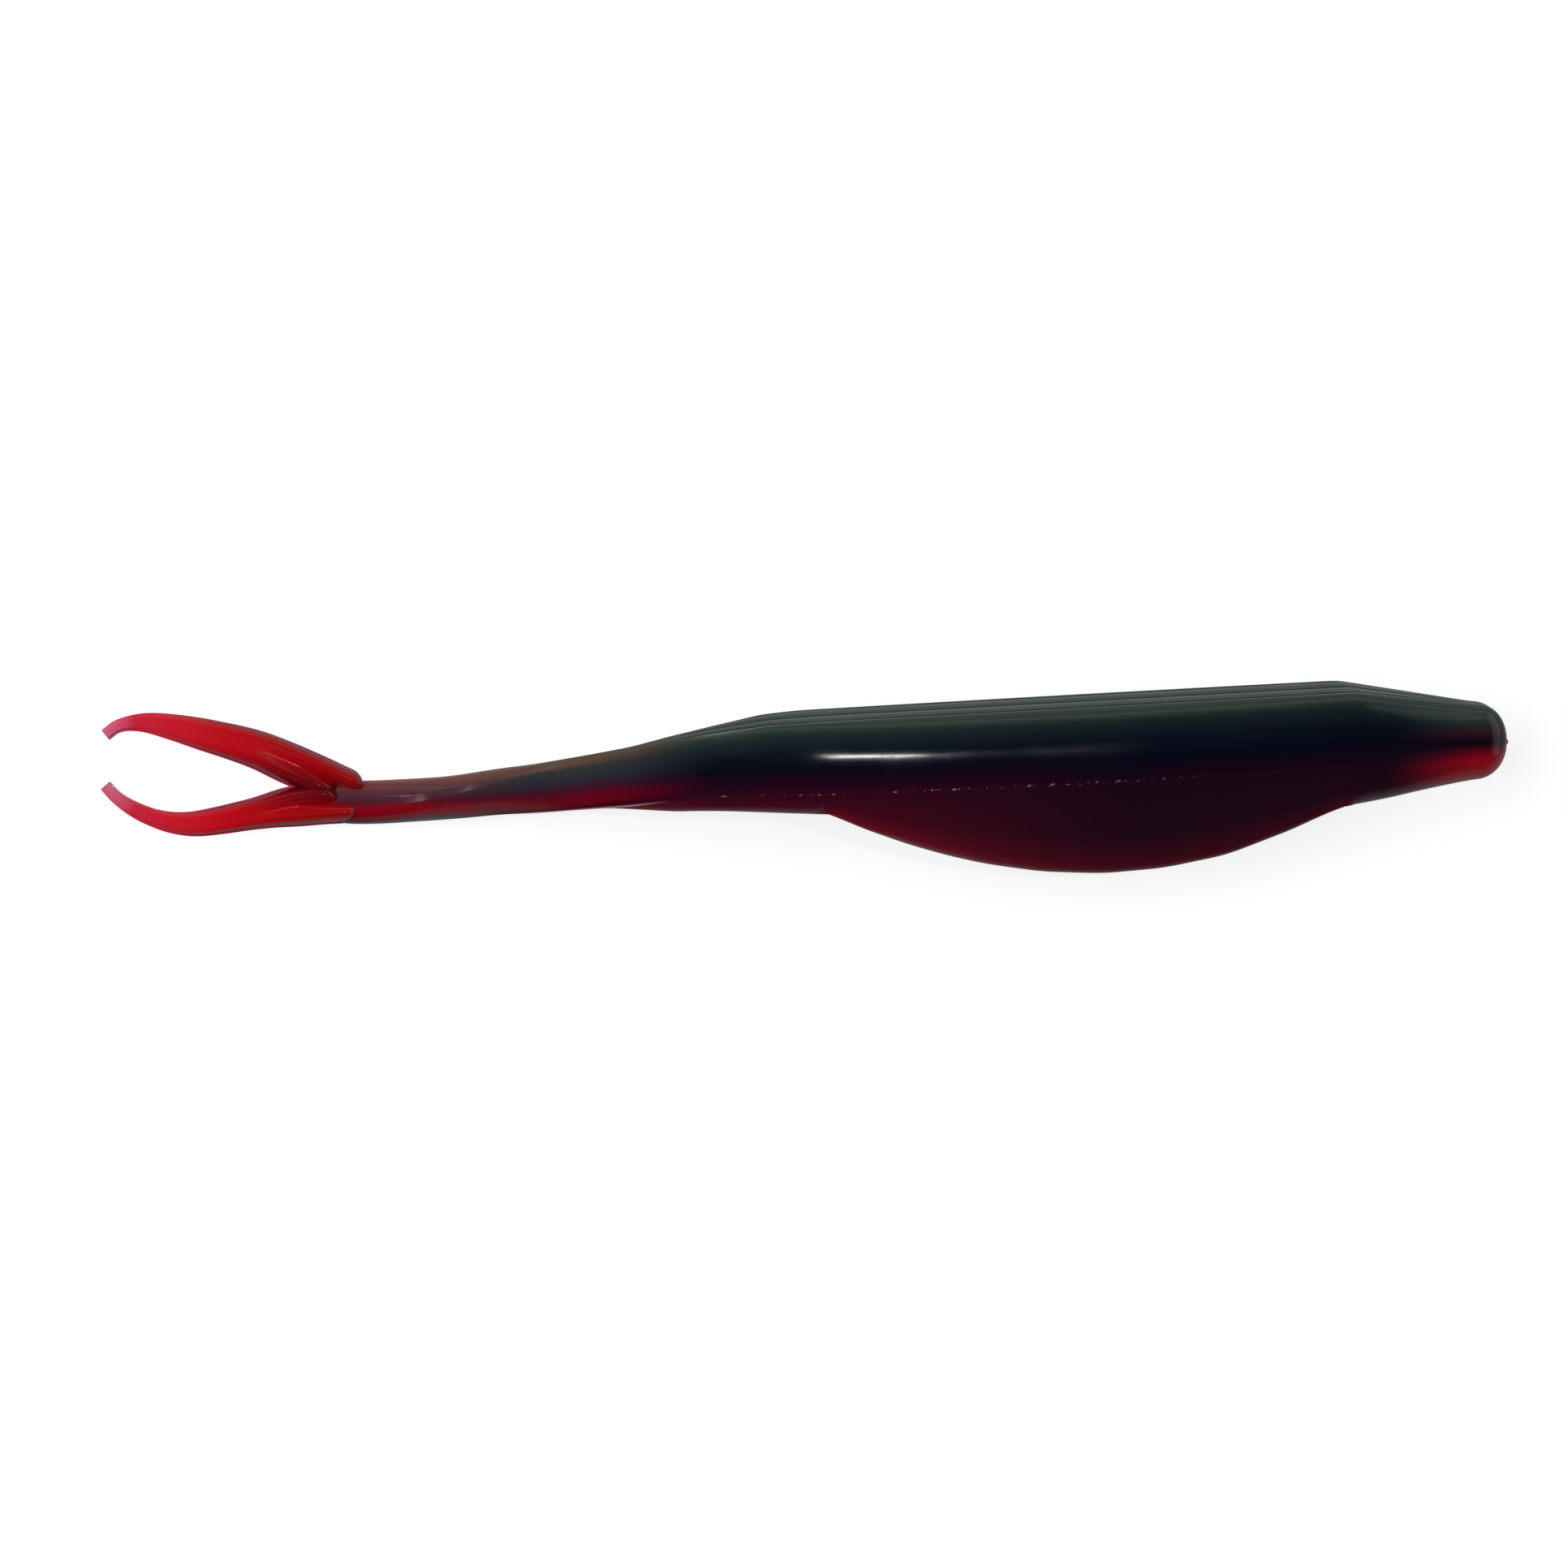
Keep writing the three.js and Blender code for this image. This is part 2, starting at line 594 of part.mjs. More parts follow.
function tineBetween(route, from, to) {
  const placeAt = (share, side, rise) => {
    const { back, right } = tineFrame(route, share);
    return route.getPointAt(share).addScaledVector(right, side).addScaledVector(back, rise);
  };
  return loft(stationsBetween(from, to, STATION_STEP * 0.6 / route.getLength()), tineSection, placeAt);
}

// The share of a tine's route at which it reaches a station.
function shareAt(route, station) {
  let low = 0;
  let high = 1;
  for (let i = 0; i < 40; i++) {
    const middle = (low + high) / 2;
    if (route.getPointAt(middle).x < station) {
      low = middle;
    } else {
      high = middle;
    }
  }
  return low;
}

let forkRoot = withFrontKnuckle(FORK_END - OVERLAP, forkBend);
const tineHinges = {};

const tines = [
  ['left', -1, tineRoute(1, FORK_SPREAD_LEFT, TINE_HOOK_LEFT, TINE_BOW_LEFT)],
  ['right', 1, tineRoute(-1, FORK_SPREAD_RIGHT, TINE_HOOK_RIGHT, TINE_BOW_RIGHT)],
];

for (const [side, outward, route] of tines) {
  const length = route.getLength();
  const spreadShare = shareAt(route, TINE_SPREAD_STATION);
  const curlShare = shareAt(route, TINE_CURL_STATION);
  const spreadPoint = route.getPointAt(spreadShare);
  const spreadRadius = Math.max(...tineSection(spreadShare).map((point) => point[0]));
  const up = new THREE.Vector3(0, 0, 1);
  const spreadBar = (extra) => bar(spreadPoint, up, spreadRadius + extra, REACH);
  const spreadMouth = mouth(spreadRadius, TINE_SPREAD) / length;
  forkRoot = forkRoot.add(tineBetween(route, spreadShare + spreadMouth, 1).subtract(spreadBar(GAP)));

  const curlHeight = Math.max(...tineSection(curlShare).map((point) => point[1]));
  const curlPoint = route.getPointAt(curlShare).addScaledVector(up, curlHeight / 2);
  const curlAxis = tineFrame(route, curlShare).right;
  const curlBar = (extra) => bar(curlPoint, curlAxis, curlHeight / 2 + extra, REACH);
  const curlMouth = mouth(curlHeight / 2, TINE_CURL) / length;
  const overlap = OVERLAP / length;
  const spreadTip = tineBetween(
    route,
    spreadShare - overlap,
    spreadShare + (spreadRadius * KNUCKLE_REACH) / length,
  );
  const base = tineBetween(route, curlShare + curlMouth, spreadShare)
    .add(spreadTip.intersect(spreadBar(0)))
    .subtract(curlBar(GAP));
  addNode(`tine_${side}_base`, base, 'fork');

  const curlTip = tineBetween(
    route,
    curlShare - overlap,
    curlShare + (curlHeight / 2) * (KNUCKLE_REACH / length),
  );
  const tip = tineBetween(route, 0, curlShare).add(curlTip.intersect(curlBar(0)));
  addNode(`tine_${side}_tip`, tip, 'fork');

  tineHinges[`tine_${side}_spread`] = { point: spreadPoint, axis: up.clone().multiplyScalar(outward) };
  tineHinges[`tine_${side}_curl`] = { point: curlPoint, axis: curlAxis.clone().negate() };
}
addNode('fork_root', forkRoot, 'fork');

// ---- Gate nub -----------------------------------------------------------------------------------------

const nubAxis = lineFrame(NOSE).along;
const nubPoint = linePoint(NOSE).addScaledVector(nubAxis, GAP / 10 + GATE_NUB_LENGTH / 2);
addNode('gate_nub', bar(nubPoint, nubAxis, GATE_NUB_RADIUS, GATE_NUB_LENGTH), 'belly');

// ---- Placing the bait ---------------------------------------------------------------------------------

// The pivots and axes of the bends, in the same space as the solids before the bait is centred. A positive
// turn spreads a keel flap or a tine outwards, and lifts a tine's tip.
const flapAxis = place(KEEL_FRONT, 0, -bodyBellyDepth(KEEL_FRONT))
  .sub(place(KEEL_REAR, 0, -bodyBellyDepth(KEEL_REAR)))
  .normalize();
const flapHinge = (outward) => ({
  point: place(KEEL_MIDDLE, outward * FLAP_HINGE_SIDE, -bodyBellyDepth(KEEL_MIDDLE)),
  axis: flapAxis.clone().multiplyScalar(-outward),
});
group.userData.hinges = {
  neck_side_bend: neck,
  waist_side_bend: waist,
  stem_side_bend: stem,
  stem_nod: nod,
  stem_twist: twist,
  fork_side_bend: forkBend,
  keel_flap_left_spread: flapHinge(-1),
  keel_flap_right_spread: flapHinge(1),
  ...tineHinges,
};

// The origin is below the middle of the bait, on the table it lies on.
const box = new THREE.Box3().setFromObject(group, true);
const middle = box.getCenter(new THREE.Vector3());
group.position.set(-middle.x, -middle.y, -box.min.z);
group.updateMatrixWorld(true);

export default group;
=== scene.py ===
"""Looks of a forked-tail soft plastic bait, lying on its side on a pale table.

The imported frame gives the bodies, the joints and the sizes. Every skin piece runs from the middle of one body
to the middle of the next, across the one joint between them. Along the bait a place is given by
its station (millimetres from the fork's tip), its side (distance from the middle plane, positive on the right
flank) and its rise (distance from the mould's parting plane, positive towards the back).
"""

import json
import logging
import math
from collections.abc import Callable, Iterable, Sequence
from dataclasses import dataclass, field
from enum import Enum

import bmesh
import bpy
from mathutils import Matrix, Vector


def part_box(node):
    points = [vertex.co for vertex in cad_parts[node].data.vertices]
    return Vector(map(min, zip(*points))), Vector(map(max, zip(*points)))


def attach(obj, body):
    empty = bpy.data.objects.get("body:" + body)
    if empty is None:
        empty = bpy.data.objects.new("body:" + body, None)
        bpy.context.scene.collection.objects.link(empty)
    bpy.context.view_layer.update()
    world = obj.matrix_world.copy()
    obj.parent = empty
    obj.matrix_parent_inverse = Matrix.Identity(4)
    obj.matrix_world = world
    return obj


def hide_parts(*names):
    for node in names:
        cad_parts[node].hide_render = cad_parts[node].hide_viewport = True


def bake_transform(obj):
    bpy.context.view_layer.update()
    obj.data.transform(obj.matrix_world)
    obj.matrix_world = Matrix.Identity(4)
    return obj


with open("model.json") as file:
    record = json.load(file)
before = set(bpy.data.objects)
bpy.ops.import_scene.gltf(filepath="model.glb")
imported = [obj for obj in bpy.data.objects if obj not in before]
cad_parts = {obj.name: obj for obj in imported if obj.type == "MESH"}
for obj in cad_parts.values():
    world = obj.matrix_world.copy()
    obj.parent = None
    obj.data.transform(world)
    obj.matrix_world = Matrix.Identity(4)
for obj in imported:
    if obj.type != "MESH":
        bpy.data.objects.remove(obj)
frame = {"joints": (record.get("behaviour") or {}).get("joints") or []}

LOG = logging.getLogger("bait")
MM = 0.001
WELD = 1e-6
CREASE_ANGLE = math.radians(50)
PLACE_ATTRIBUTE = "bait_place"
# Per vertex, the share of pale colour: on the fork its thin parts, lit through by painted light; on the body the
# stem's pale flash and the painted reflection beside each groove.
THIN_AND_REFLECTION_ATTRIBUTE = "bait_thin_and_reflection"

Outline = list[tuple[float, float, float, float]]
Run = tuple[float, float]
Shade = tuple[int, int, int]
Stops = tuple[tuple[float, Shade], ...]
Colour = tuple[float, float, float, float]


def mix(low: float, high: float, share: float) -> float:
    """Return the value a share of the way from low to high."""
    return low + (high - low) * share


def ease(value: float, start: float, end: float) -> float:
    """Return a smooth 0 to 1 step as value goes from start to end."""
    share = min(1.0, max(0.0, (value - start) / (end - start)))
    return share * share * (3 - 2 * share)


def shade(red: int, green: int, blue: int) -> Colour:
    """Return a display colour of 0 to 255 as the linear colour that shaders take.

    Args:
        red: The red channel.
        green: The green channel.
        blue: The blue channel.

    Returns:
        The colour in linear light, with full cover.
    """
    parts = [value / 255 for value in (red, green, blue)]
    light = [part / 12.92 if part <= 0.04045 else ((part + 0.055) / 1.055) ** 2.4 for part in parts]
    return (light[0], light[1], light[2], 1.0)


@dataclass(frozen=True)
class Curve:
    """A value along the bait, straight between its points, with each corner rounded over a short length."""

    points: tuple[Run, ...]
    rounding: float = 2.0
    samples: int = 8

    def straight(self, station: float) -> float:
        """Return the value at a station with sharp corners.

        Args:
            station: The distance from the fork's tip.

        Returns:
            The value on the straight line between the points on either side.
        """
        if station <= self.points[0][0]:
            return self.points[0][1]
        for (start, low), (end, high) in zip(self.points, self.points[1:]):
            if station <= end:
                return mix(low, high, (station - start) / (end - start))
        return self.points[-1][1]

    def at(self, station: float) -> float:
        """Return the value at a station, averaged over the rounding length."""
        count = self.samples
        places = [station + self.rounding * (2 * i / count - 1) for i in range(count + 1)]
        return sum(self.straight(place) for place in places) / (count + 1)


@dataclass(frozen=True)
class Stations:
    """Where the bends, the middles of the bodies and the ends lie along the bait, from the fork's tip."""

    tine_tip: float = 0.1
    tine_middle: float = 12.5
    stem_end: float = 18.7
    fork_end: float = 23.5
    fork_bend: float = 29.5
    stem_rear_middle: float = 33.5
    stem_middle: float = 40.75
    stem_front_middle: float = 47.75
    stem_bend: float = 51.5
    waist_middle: float = 57.5
    keel_rear: float = 64.9
    trunk_middle: float = 92.0
    keel_front: float = 115.3
    neck_bend: float = 119.5
    nose_shoulder: float = 130.0
    nose: float = 133.0


STATIONS = Stations()


@dataclass(frozen=True)
class StationLine:
    """The line through the bait's middle and the roll of each cross-section about it.

    The trunk slants across the table and lies on its flank, and the stem twists until the fork is flat.
    """

    slant: float = 3.1
    stem_offset: float = 3.5
    fork_roll: float = 90.0
    trunk_half_width: float = 6.0
    keel_lip_half_width: float = 3.3
    keel_depth: float = 9.9
    straight_from: float = 56.9
    roll_lead: float = 1.0
    roll_lag: float = 3.0
    probe: float = 0.05
    stem_bow: Curve = Curve(((24.5, 0.0), (30, 0.32), (35.6, 0.76), (41.3, 0.5), (48, 0.0)), 1.5)

    @property
    def trunk_roll(self) -> float:
        """Return the trunk's roll in radians, which its straight lower flank gives it."""
        return math.atan2(self.trunk_half_width - self.keel_lip_half_width, self.keel_depth)

    @property
    def trunk_height(self) -> float:
        """Return how high the trunk's middle lies above the table."""
        return self.trunk_half_width * math.cos(self.trunk_roll)

    def local(self, station: float) -> Vector:
        """Return the line's point at a station, before it is moved onto the frame.

        Args:
            station: The distance from the fork's tip.

        Returns:
            The point in millimetres.
        """
        start = STATIONS.fork_bend + self.roll_lead
        slanted = (station - STATIONS.trunk_middle) * math.tan(math.radians(self.slant))
        across = mix(-self.stem_offset, slanted, ease(station, start, self.straight_from))
        height = self.trunk_height * ease(station, STATIONS.fork_end, self.straight_from)
        return Vector((station, across + self.stem_bow.at(station), height))

    def origin(self) -> Vector:
        """Return the step from the line's own space to the frame, from the neck joint's place."""
        neck = next(j for j in frame["joints"] if j["name"] == "neck_side_bend")
        return Vector(neck["pos_m"]) / MM - self.local(STATIONS.neck_bend)

    def axes(self, station: float) -> tuple[Vector, Vector, Vector]:
        """Return the directions along the bait, towards the back and out of the right flank."""
        along = (self.local(station + self.probe) - self.local(station - self.probe)).normalized()
        return (along, *rolled(along, self.roll(station)))

    def roll(self, station: float) -> float:
        """Return the roll of the cross-section at a station, in radians."""
        turning = ease(station, STATIONS.fork_end + self.roll_lead, STATIONS.stem_bend + self.roll_lag)
        return mix(math.radians(self.fork_roll), self.trunk_roll, turning)


def rolled(along: Vector, roll: float) -> tuple[Vector, Vector]:
    """Return the directions of a section that is rolled from level.

    Args:
        along: The direction that the section faces.
        roll: The roll in radians.

    Returns:
        The direction towards the back, and the one out of the right flank.
    """
    level = Vector((0, 0, 1)).cross(along).normalized()
    upright = along.cross(level)
    back = level * math.cos(roll) + upright * math.sin(roll)
    return back, along.cross(back)


LINE = StationLine()
ORIGIN = LINE.origin()


class BodyPlacer:
    """Places section points of the body in the frame, and remembers the directions of each station."""

    def __init__(self) -> None:
        """Start with no stations remembered."""
        self._known: dict[float, tuple[Vector, Vector, Vector]] = {}

    def __call__(self, station: float, side: float, rise: float) -> Vector:
        """Return the frame place of a point.

        Args:
            station: The distance from the fork's tip.
            side: The distance from the middle plane.
            rise: The distance from the parting plane.

        Returns:
            The place in metres.
        """
        if station not in self._known:
            _, back, right = LINE.axes(station)
            self._known[station] = (LINE.local(station) + ORIGIN, back, right)
        middle, back, right = self._known[station]
        return (middle + right * side + back * rise) * MM


PLACE_BODY = BodyPlacer()


class Pour(Enum):
    """The two colours of plastic that the body is cast in."""

    BACK = 1
    BELLY = -1


@dataclass(frozen=True)
class BodySection:
    """Cross-sections of the body: a back with lands and grooves, round flanks, and a belly or keel root."""

    half_width: Curve = Curve(
        ((18.6, 1.3), (20.2, 1.85), (24, 1.95), (29.5, 1.9), (35.6, 2.0), (44, 2.2), (51.5, 2.95), (63.5, 5.0),
         (74, 5.6), (92, 6.0), (108, 5.65), (119.5, 4.9), (130, 3.1)), 2.5)
    back_height: Curve = Curve(
        ((18.6, 0.7), (21.5, 1.5), (25, 2.3), (29.5, 3.2), (44, 4.15), (47.5, 4.45), (59.6, 6.0), (64, 6.14),
         (116.6, 6.3), (130, 3.95)), 0.7)
    belly_depth: Curve = Curve(
        ((29.5, 0.06), (44, 0.18), (51, 1.62), (58.6, 2.14), (64.9, 2.58), (70, 3.5), (112, 4.9), (115.3, 4.93),
         (119.3, 4.46), (122.7, 4.02), (129.8, 3.4)), 0.8)
    belly_squareness: Curve = Curve(((44, 1.0), (53, 0.62), (122, 0.62), (130, 0.95)), 2.0)
    keel_root: Curve = Curve(((64.9, 2.0), (68.7, 3.35), (112, 4.3), (118, 4.35)), 0.6)
    keel_depth: Curve = Curve(
        ((63, 1.2), (68.7, 4.1), (72.5, 5.7), (76.5, 7.1), (80.5, 8.25), (86, 9.35), (92, 9.9), (98, 9.75),
         (104, 8.85), (111, 6.45), (117, 3.6)), 1.4)
    pour_split: Curve = Curve(((48.5, 1.2), (63.5, 0.0)), 0.0)
    land_width: Curve = Curve(
        ((30, 0.3), (44, 0.45), (51, 0.6), (62.6, 2.05), (116.6, 2.1), (124, 1.2), (130, 0.5)), 1.0)
    groove_full_depth: float = 0.34
    groove_depth: Curve = Curve(
        ((52, 0.0), (58, 0.24), (63, groove_full_depth), (117, groove_full_depth), (125, 0.16), (129.5, 0.0)), 1.0)
    groove_width: float = 0.2
    groove_shape: float = 1.2
    land_crown: float = 0.05
    ridge: Curve = Curve(((26, 0.0), (31, 0.55), (50, 0.6), (60, 0.0)), 1.0)
    flank_power: float = 0.93
    flash_height: Curve = Curve(((60, 0.05), (66, 0.025), (110, 0.025), (118, 0.0)), 1.0)
    flash_spread: float = 0.09
    flash_turn: Run = (1.2, 1.5)
    flash_share: float = 0.8
    # Width of the painted reflection line beside each groove, and the groove depths over which it fades in.
    edge_width: float = 0.08
    edge_groove: Run = (0.0, 0.2)
    seam_grows: Run = (36.0, 39.5)
    seam_fades: Run = (47.0, 51.0)
    seam_spread: float = 0.06
    band_margin: float = 0.05
    band_twist: Run = (42.0, 53.0)
    stem_depth: float = 2.0
    stem_level: Run = (44.0, 56.0)
    nose_rounding: float = 3.0
    nose_least: float = 0.03
    slot_half_width: float = 1.0
    slot_share: float = 0.4
    slot_groove: float = 1.4
    keel_fairing: float = 1.7
    land_columns: int = 14
    groove_columns: tuple[float, ...] = (0.0, 0.02, 0.045, 0.07, 0.1)
    flank_start: tuple[float, ...] = (0.0, 0.01, 0.022, 0.034, 0.048, 0.07)
    flank_columns: int = 26
    flank_crowding: float = 1.8
    belly_upper_columns: int = 10
    belly_flank_columns: int = 26
    belly_crowding: float = 1.6
    belly_corner: float = 0.62
    belly_floor_columns: int = 6
    wall_columns: int = 6

    def nose_share(self, station: float) -> float:
        """Return how much of its full section the rounded nose has at a station."""
        past = max(0.0, station - STATIONS.nose_shoulder) / self.nose_rounding
        return max(self.nose_least, math.sqrt(max(0.0, 1 - past * past)))

    def bottom(self, station: float) -> float:
        """Return the depth of the lowest point of the body or keel at a station."""
        if STATIONS.keel_rear <= station <= STATIONS.keel_front:
            return self.keel_depth.at(station)
        return self.belly_depth.at(station)

    def level(self, station: float, rise: float) -> float:
        """Return a rise as a share of the back's height, or of the belly's depth where it is below.

        Args:
            station: The distance from the fork's tip.
            rise: The distance from the parting plane.

        Returns:
            The level, from -1 at the lowest rim to 1 at the middle of the back.
        """
        if rise > 0:
            return rise / self.back_height.at(station)
        return rise / mix(self.stem_depth, self.bottom(station), ease(station, *self.stem_level))

    def flash(self, station: float, rise: float) -> float:
        """Return how far the parting flash stands out of the flank at a station and rise."""
        return self.flash_height.at(station) * math.exp(-((rise / self.flash_spread) ** 2))

    def relief(self, station: float, side: float) -> float:
        """Return how far the back stands below its full height at a side.

        Args:
            station: The distance from the fork's tip.
            side: The distance from the middle plane.

        Returns:
            The depth of the groove there, or less than nothing on the crown of a land.
        """
        land = self.land_width.at(station) * self.nose_share(station)
        depth = self.groove_depth.at(station) * self.nose_share(station)
        steps = side / land
        if steps > 1.5:
            return 0.0
        away = abs(steps - round(steps)) * land
        crown = self.land_crown * math.sin(math.pi * min(1.0, steps)) ** 2 * depth / self.groove_full_depth
        return depth * max(0.0, 1 - away / self.groove_width) ** self.groove_shape - crown

    def flank_point(self, station: float, angle: float) -> tuple[float, float]:
        """Return side and rise on the upper flank.

        Args:
            station: The distance from the fork's tip.
            angle: 0 at the outer groove and a quarter turn at the parting plane.

        Returns:
            The side and the rise.
        """
        share = self.nose_share(station)
        wide = self.half_width.at(station) * share
        land = self.land_width.at(station) * share
        height = self.back_height.at(station) * share
        first = self.ridge.at(station)
        turned = mix(first, math.pi / 2, angle / (math.pi / 2))
        gone = (math.sin(turned) - math.sin(first)) / (1 - math.sin(first))
        side = land + (wide - land) * gone**self.flank_power
        rise = height * max(0.0, math.cos(turned) / math.cos(first)) ** self.flank_power
        flash = self.flash(station, rise) * share * ease(angle, *self.flash_turn)
        return side + flash, rise - self.relief(station, side)

    def split_angle(self, station: float) -> float:
        """Return the flank angle at which the two pours meet.

        Args:
            station: The distance from the fork's tip.

        Returns:
            The angle, as flank_point takes it.
        """
        height = self.back_height.at(station) * self.nose_share(station)
        share = min(1.0, self.pour_split.at(station) / height)
        first = self.ridge.at(station)
        turned = math.acos(share ** (1 / self.flank_power) * math.cos(first))
        return (turned - first) / (math.pi / 2 - first) * math.pi / 2

    def back_half(self, station: float) -> list[tuple[float, float]]:
        """Return one half of the back.

        Args:
            station: The distance from the fork's tip.

        Returns:
            Side and rise of each column, from the middle of the back down the right flank to the split.
        """
        share = self.nose_share(station)
        land = self.land_width.at(station) * share
        height = self.back_height.at(station) * share
        edge = self.groove_columns
        middle = [mix(edge[-1], 1 - edge[-1], i / self.land_columns) for i in range(1, self.land_columns)]
        steps = [*edge, *middle, *[1 - step for step in edge[:0:-1]]]
        points = [(land * step, height - self.relief(station, land * step)) for step in steps]
        end = self.split_angle(station)
        for start in self.flank_start[:-1]:
            points.append(self.flank_point(station, end * start))
        for i in range(self.flank_columns + 1):
            crowd = mix(self.flank_start[-1], 1.0, 1 - (1 - i / self.flank_columns) ** self.flank_crowding)
            points.append(self.flank_point(station, end * crowd))
        return points

    def belly_half(self, station: float) -> list[tuple[float, float]]:
        """Return one half of the belly.

        Args:
            station: The distance from the fork's tip.

        Returns:
            Side and rise of each column, from the split down the right flank to the middle of the belly.
        """
        share = self.nose_share(station)
        wide = self.half_width.at(station) * share
        depth = self.belly_depth.at(station) * share
        start = self.split_angle(station)
        points = []
        for i in range(self.belly_upper_columns):
            angle = mix(start, math.pi / 2, i / self.belly_upper_columns)
            points.append(self.flank_point(station, angle))
        keel = ease(station, STATIONS.keel_rear - self.keel_fairing, STATIONS.keel_rear)
        keel *= 1 - ease(station, STATIONS.keel_front, STATIONS.keel_front + self.keel_fairing)
        floor = self.keel_root.at(station)
        root = self.straight_flank(station, floor)
        square = self.belly_squareness.at(station)
        slot = min(self.slot_half_width, root * self.slot_share)
        floor_columns = 3 * self.belly_floor_columns
        for i in range(self.belly_flank_columns + floor_columns + 1):
            past = i - self.belly_flank_columns
            if past <= 0:
                crowd = (i / self.belly_flank_columns) ** self.belly_crowding
                straight = (mix(wide, root, crowd), -floor * crowd)
                turn = crowd * self.belly_corner * math.pi / 2
            else:
                straight = self.floor_point(past, root, slot, floor)
                turn = mix(self.belly_corner, 1.0, past / floor_columns) * math.pi / 2
            side = mix(wide * max(0.0, math.cos(turn)) ** square, straight[0], keel)
            rise = mix(-depth * math.sin(turn) ** square, straight[1], keel)
            flash = self.flash(station, rise) * share * ease(side, 0, wide * self.flash_share)
            points.append((side + flash, rise))
        return points

    def floor_point(self, step: int, root: float, slot: float, depth: float) -> tuple[float, float]:
        """Return a point of the belly between the keel flaps, with the slot's groove.

        Args:
            step: The column, counted from the outer corner.
            root: Half of the belly's width at the keel's root.
            slot: Half of the slot's width.
            depth: The belly's depth.

        Returns:
            The side and the rise.
        """
        count = self.belly_floor_columns
        if step <= count:
            return mix(root, slot, step / count), -depth
        if step <= 2 * count:
            return slot, -depth + self.slot_groove * (step - count) / count
        return mix(slot, 0.0, (step - 2 * count) / count), -depth + self.slot_groove

    def straight_flank(self, station: float, depth: float) -> float:
        """Return the half-width of the straight lower flank at a depth."""
        lean = (LINE.trunk_half_width - LINE.keel_lip_half_width) / LINE.keel_depth
        return self.half_width.at(station) * self.nose_share(station) - lean * depth

    def outline(self, station: float, pour: Pour) -> Outline:
        """Return the closed section of one pour, with its wall on the split.

        Args:
            station: The distance from the fork's tip.
            pour: The pour that the section belongs to.

        Returns:
            Side, rise, level and the share of pale flash and painted groove reflection of each column, once round.
        """
        right = self.back_half(station) if pour is Pour.BACK else self.belly_half(station)[::-1]
        left = [(-side, rise) for side, rise in right[:0:-1]]
        edge_side, edge_rise = right[-1]
        shares = [i / self.wall_columns for i in range(1, self.wall_columns)]
        wall = [(mix(edge_side, -edge_side, share), edge_rise) for share in shares]
        return [(s, r, self.band(station, s, r), self.pale(station, s, r)) for s, r in right + wall + left]

    def band(self, station: float, side: float, rise: float) -> float:
        """Return where a point lies among the colour bands, which run level through the twist of the stem.

        Args:
            station: The distance from the fork's tip.
            side: The distance from the middle plane, positive on the right flank.
            rise: The distance from the parting plane.

        Returns:
            The level in the trunk, and 0 to 1 across the stem.
        """
        roll = LINE.roll(station)
        across = rise * math.cos(roll) - side * math.sin(roll)
        low = -self.half_width.at(station) * math.sin(roll) - self.band_margin
        crest = self.back_height.at(station) * math.cos(roll) + self.land_width.at(station) * math.sin(roll)
        high = max(crest, -low)
        twisted = 1 - ease(station, *self.band_twist)
        return mix(self.level(station, rise), max(0.0, across - low) / (high - low), twisted)

    def pale(self, station: float, side: float, rise: float) -> float:
        """Return the share of pale colour: 1 on the stem's flash and on the painted reflection beside each groove,
        0 elsewhere.

        Args:
            station: The distance from the fork's tip.
            side: The distance from the middle plane.
            rise: The distance from the parting plane.

        Returns:
            The share of pale colour.
        """
        seam = math.exp(-((rise / self.seam_spread) ** 2))
        seam *= ease(station, *self.seam_grows) * (1 - ease(station, *self.seam_fades))
        land = self.land_width.at(station) * self.nose_share(station)
        nearest = round(side / land)
        if abs(nearest) > 1 or rise < 0:
            return seam
        # Beside each groove a pale line is painted as the reflection that the groove's wall would catch.
        away = (side - nearest * land - self.groove_width) / self.edge_width
        return max(seam, math.exp(-(away**2)) * ease(self.groove_depth.at(station), *self.edge_groove))


SECTION = BodySection()


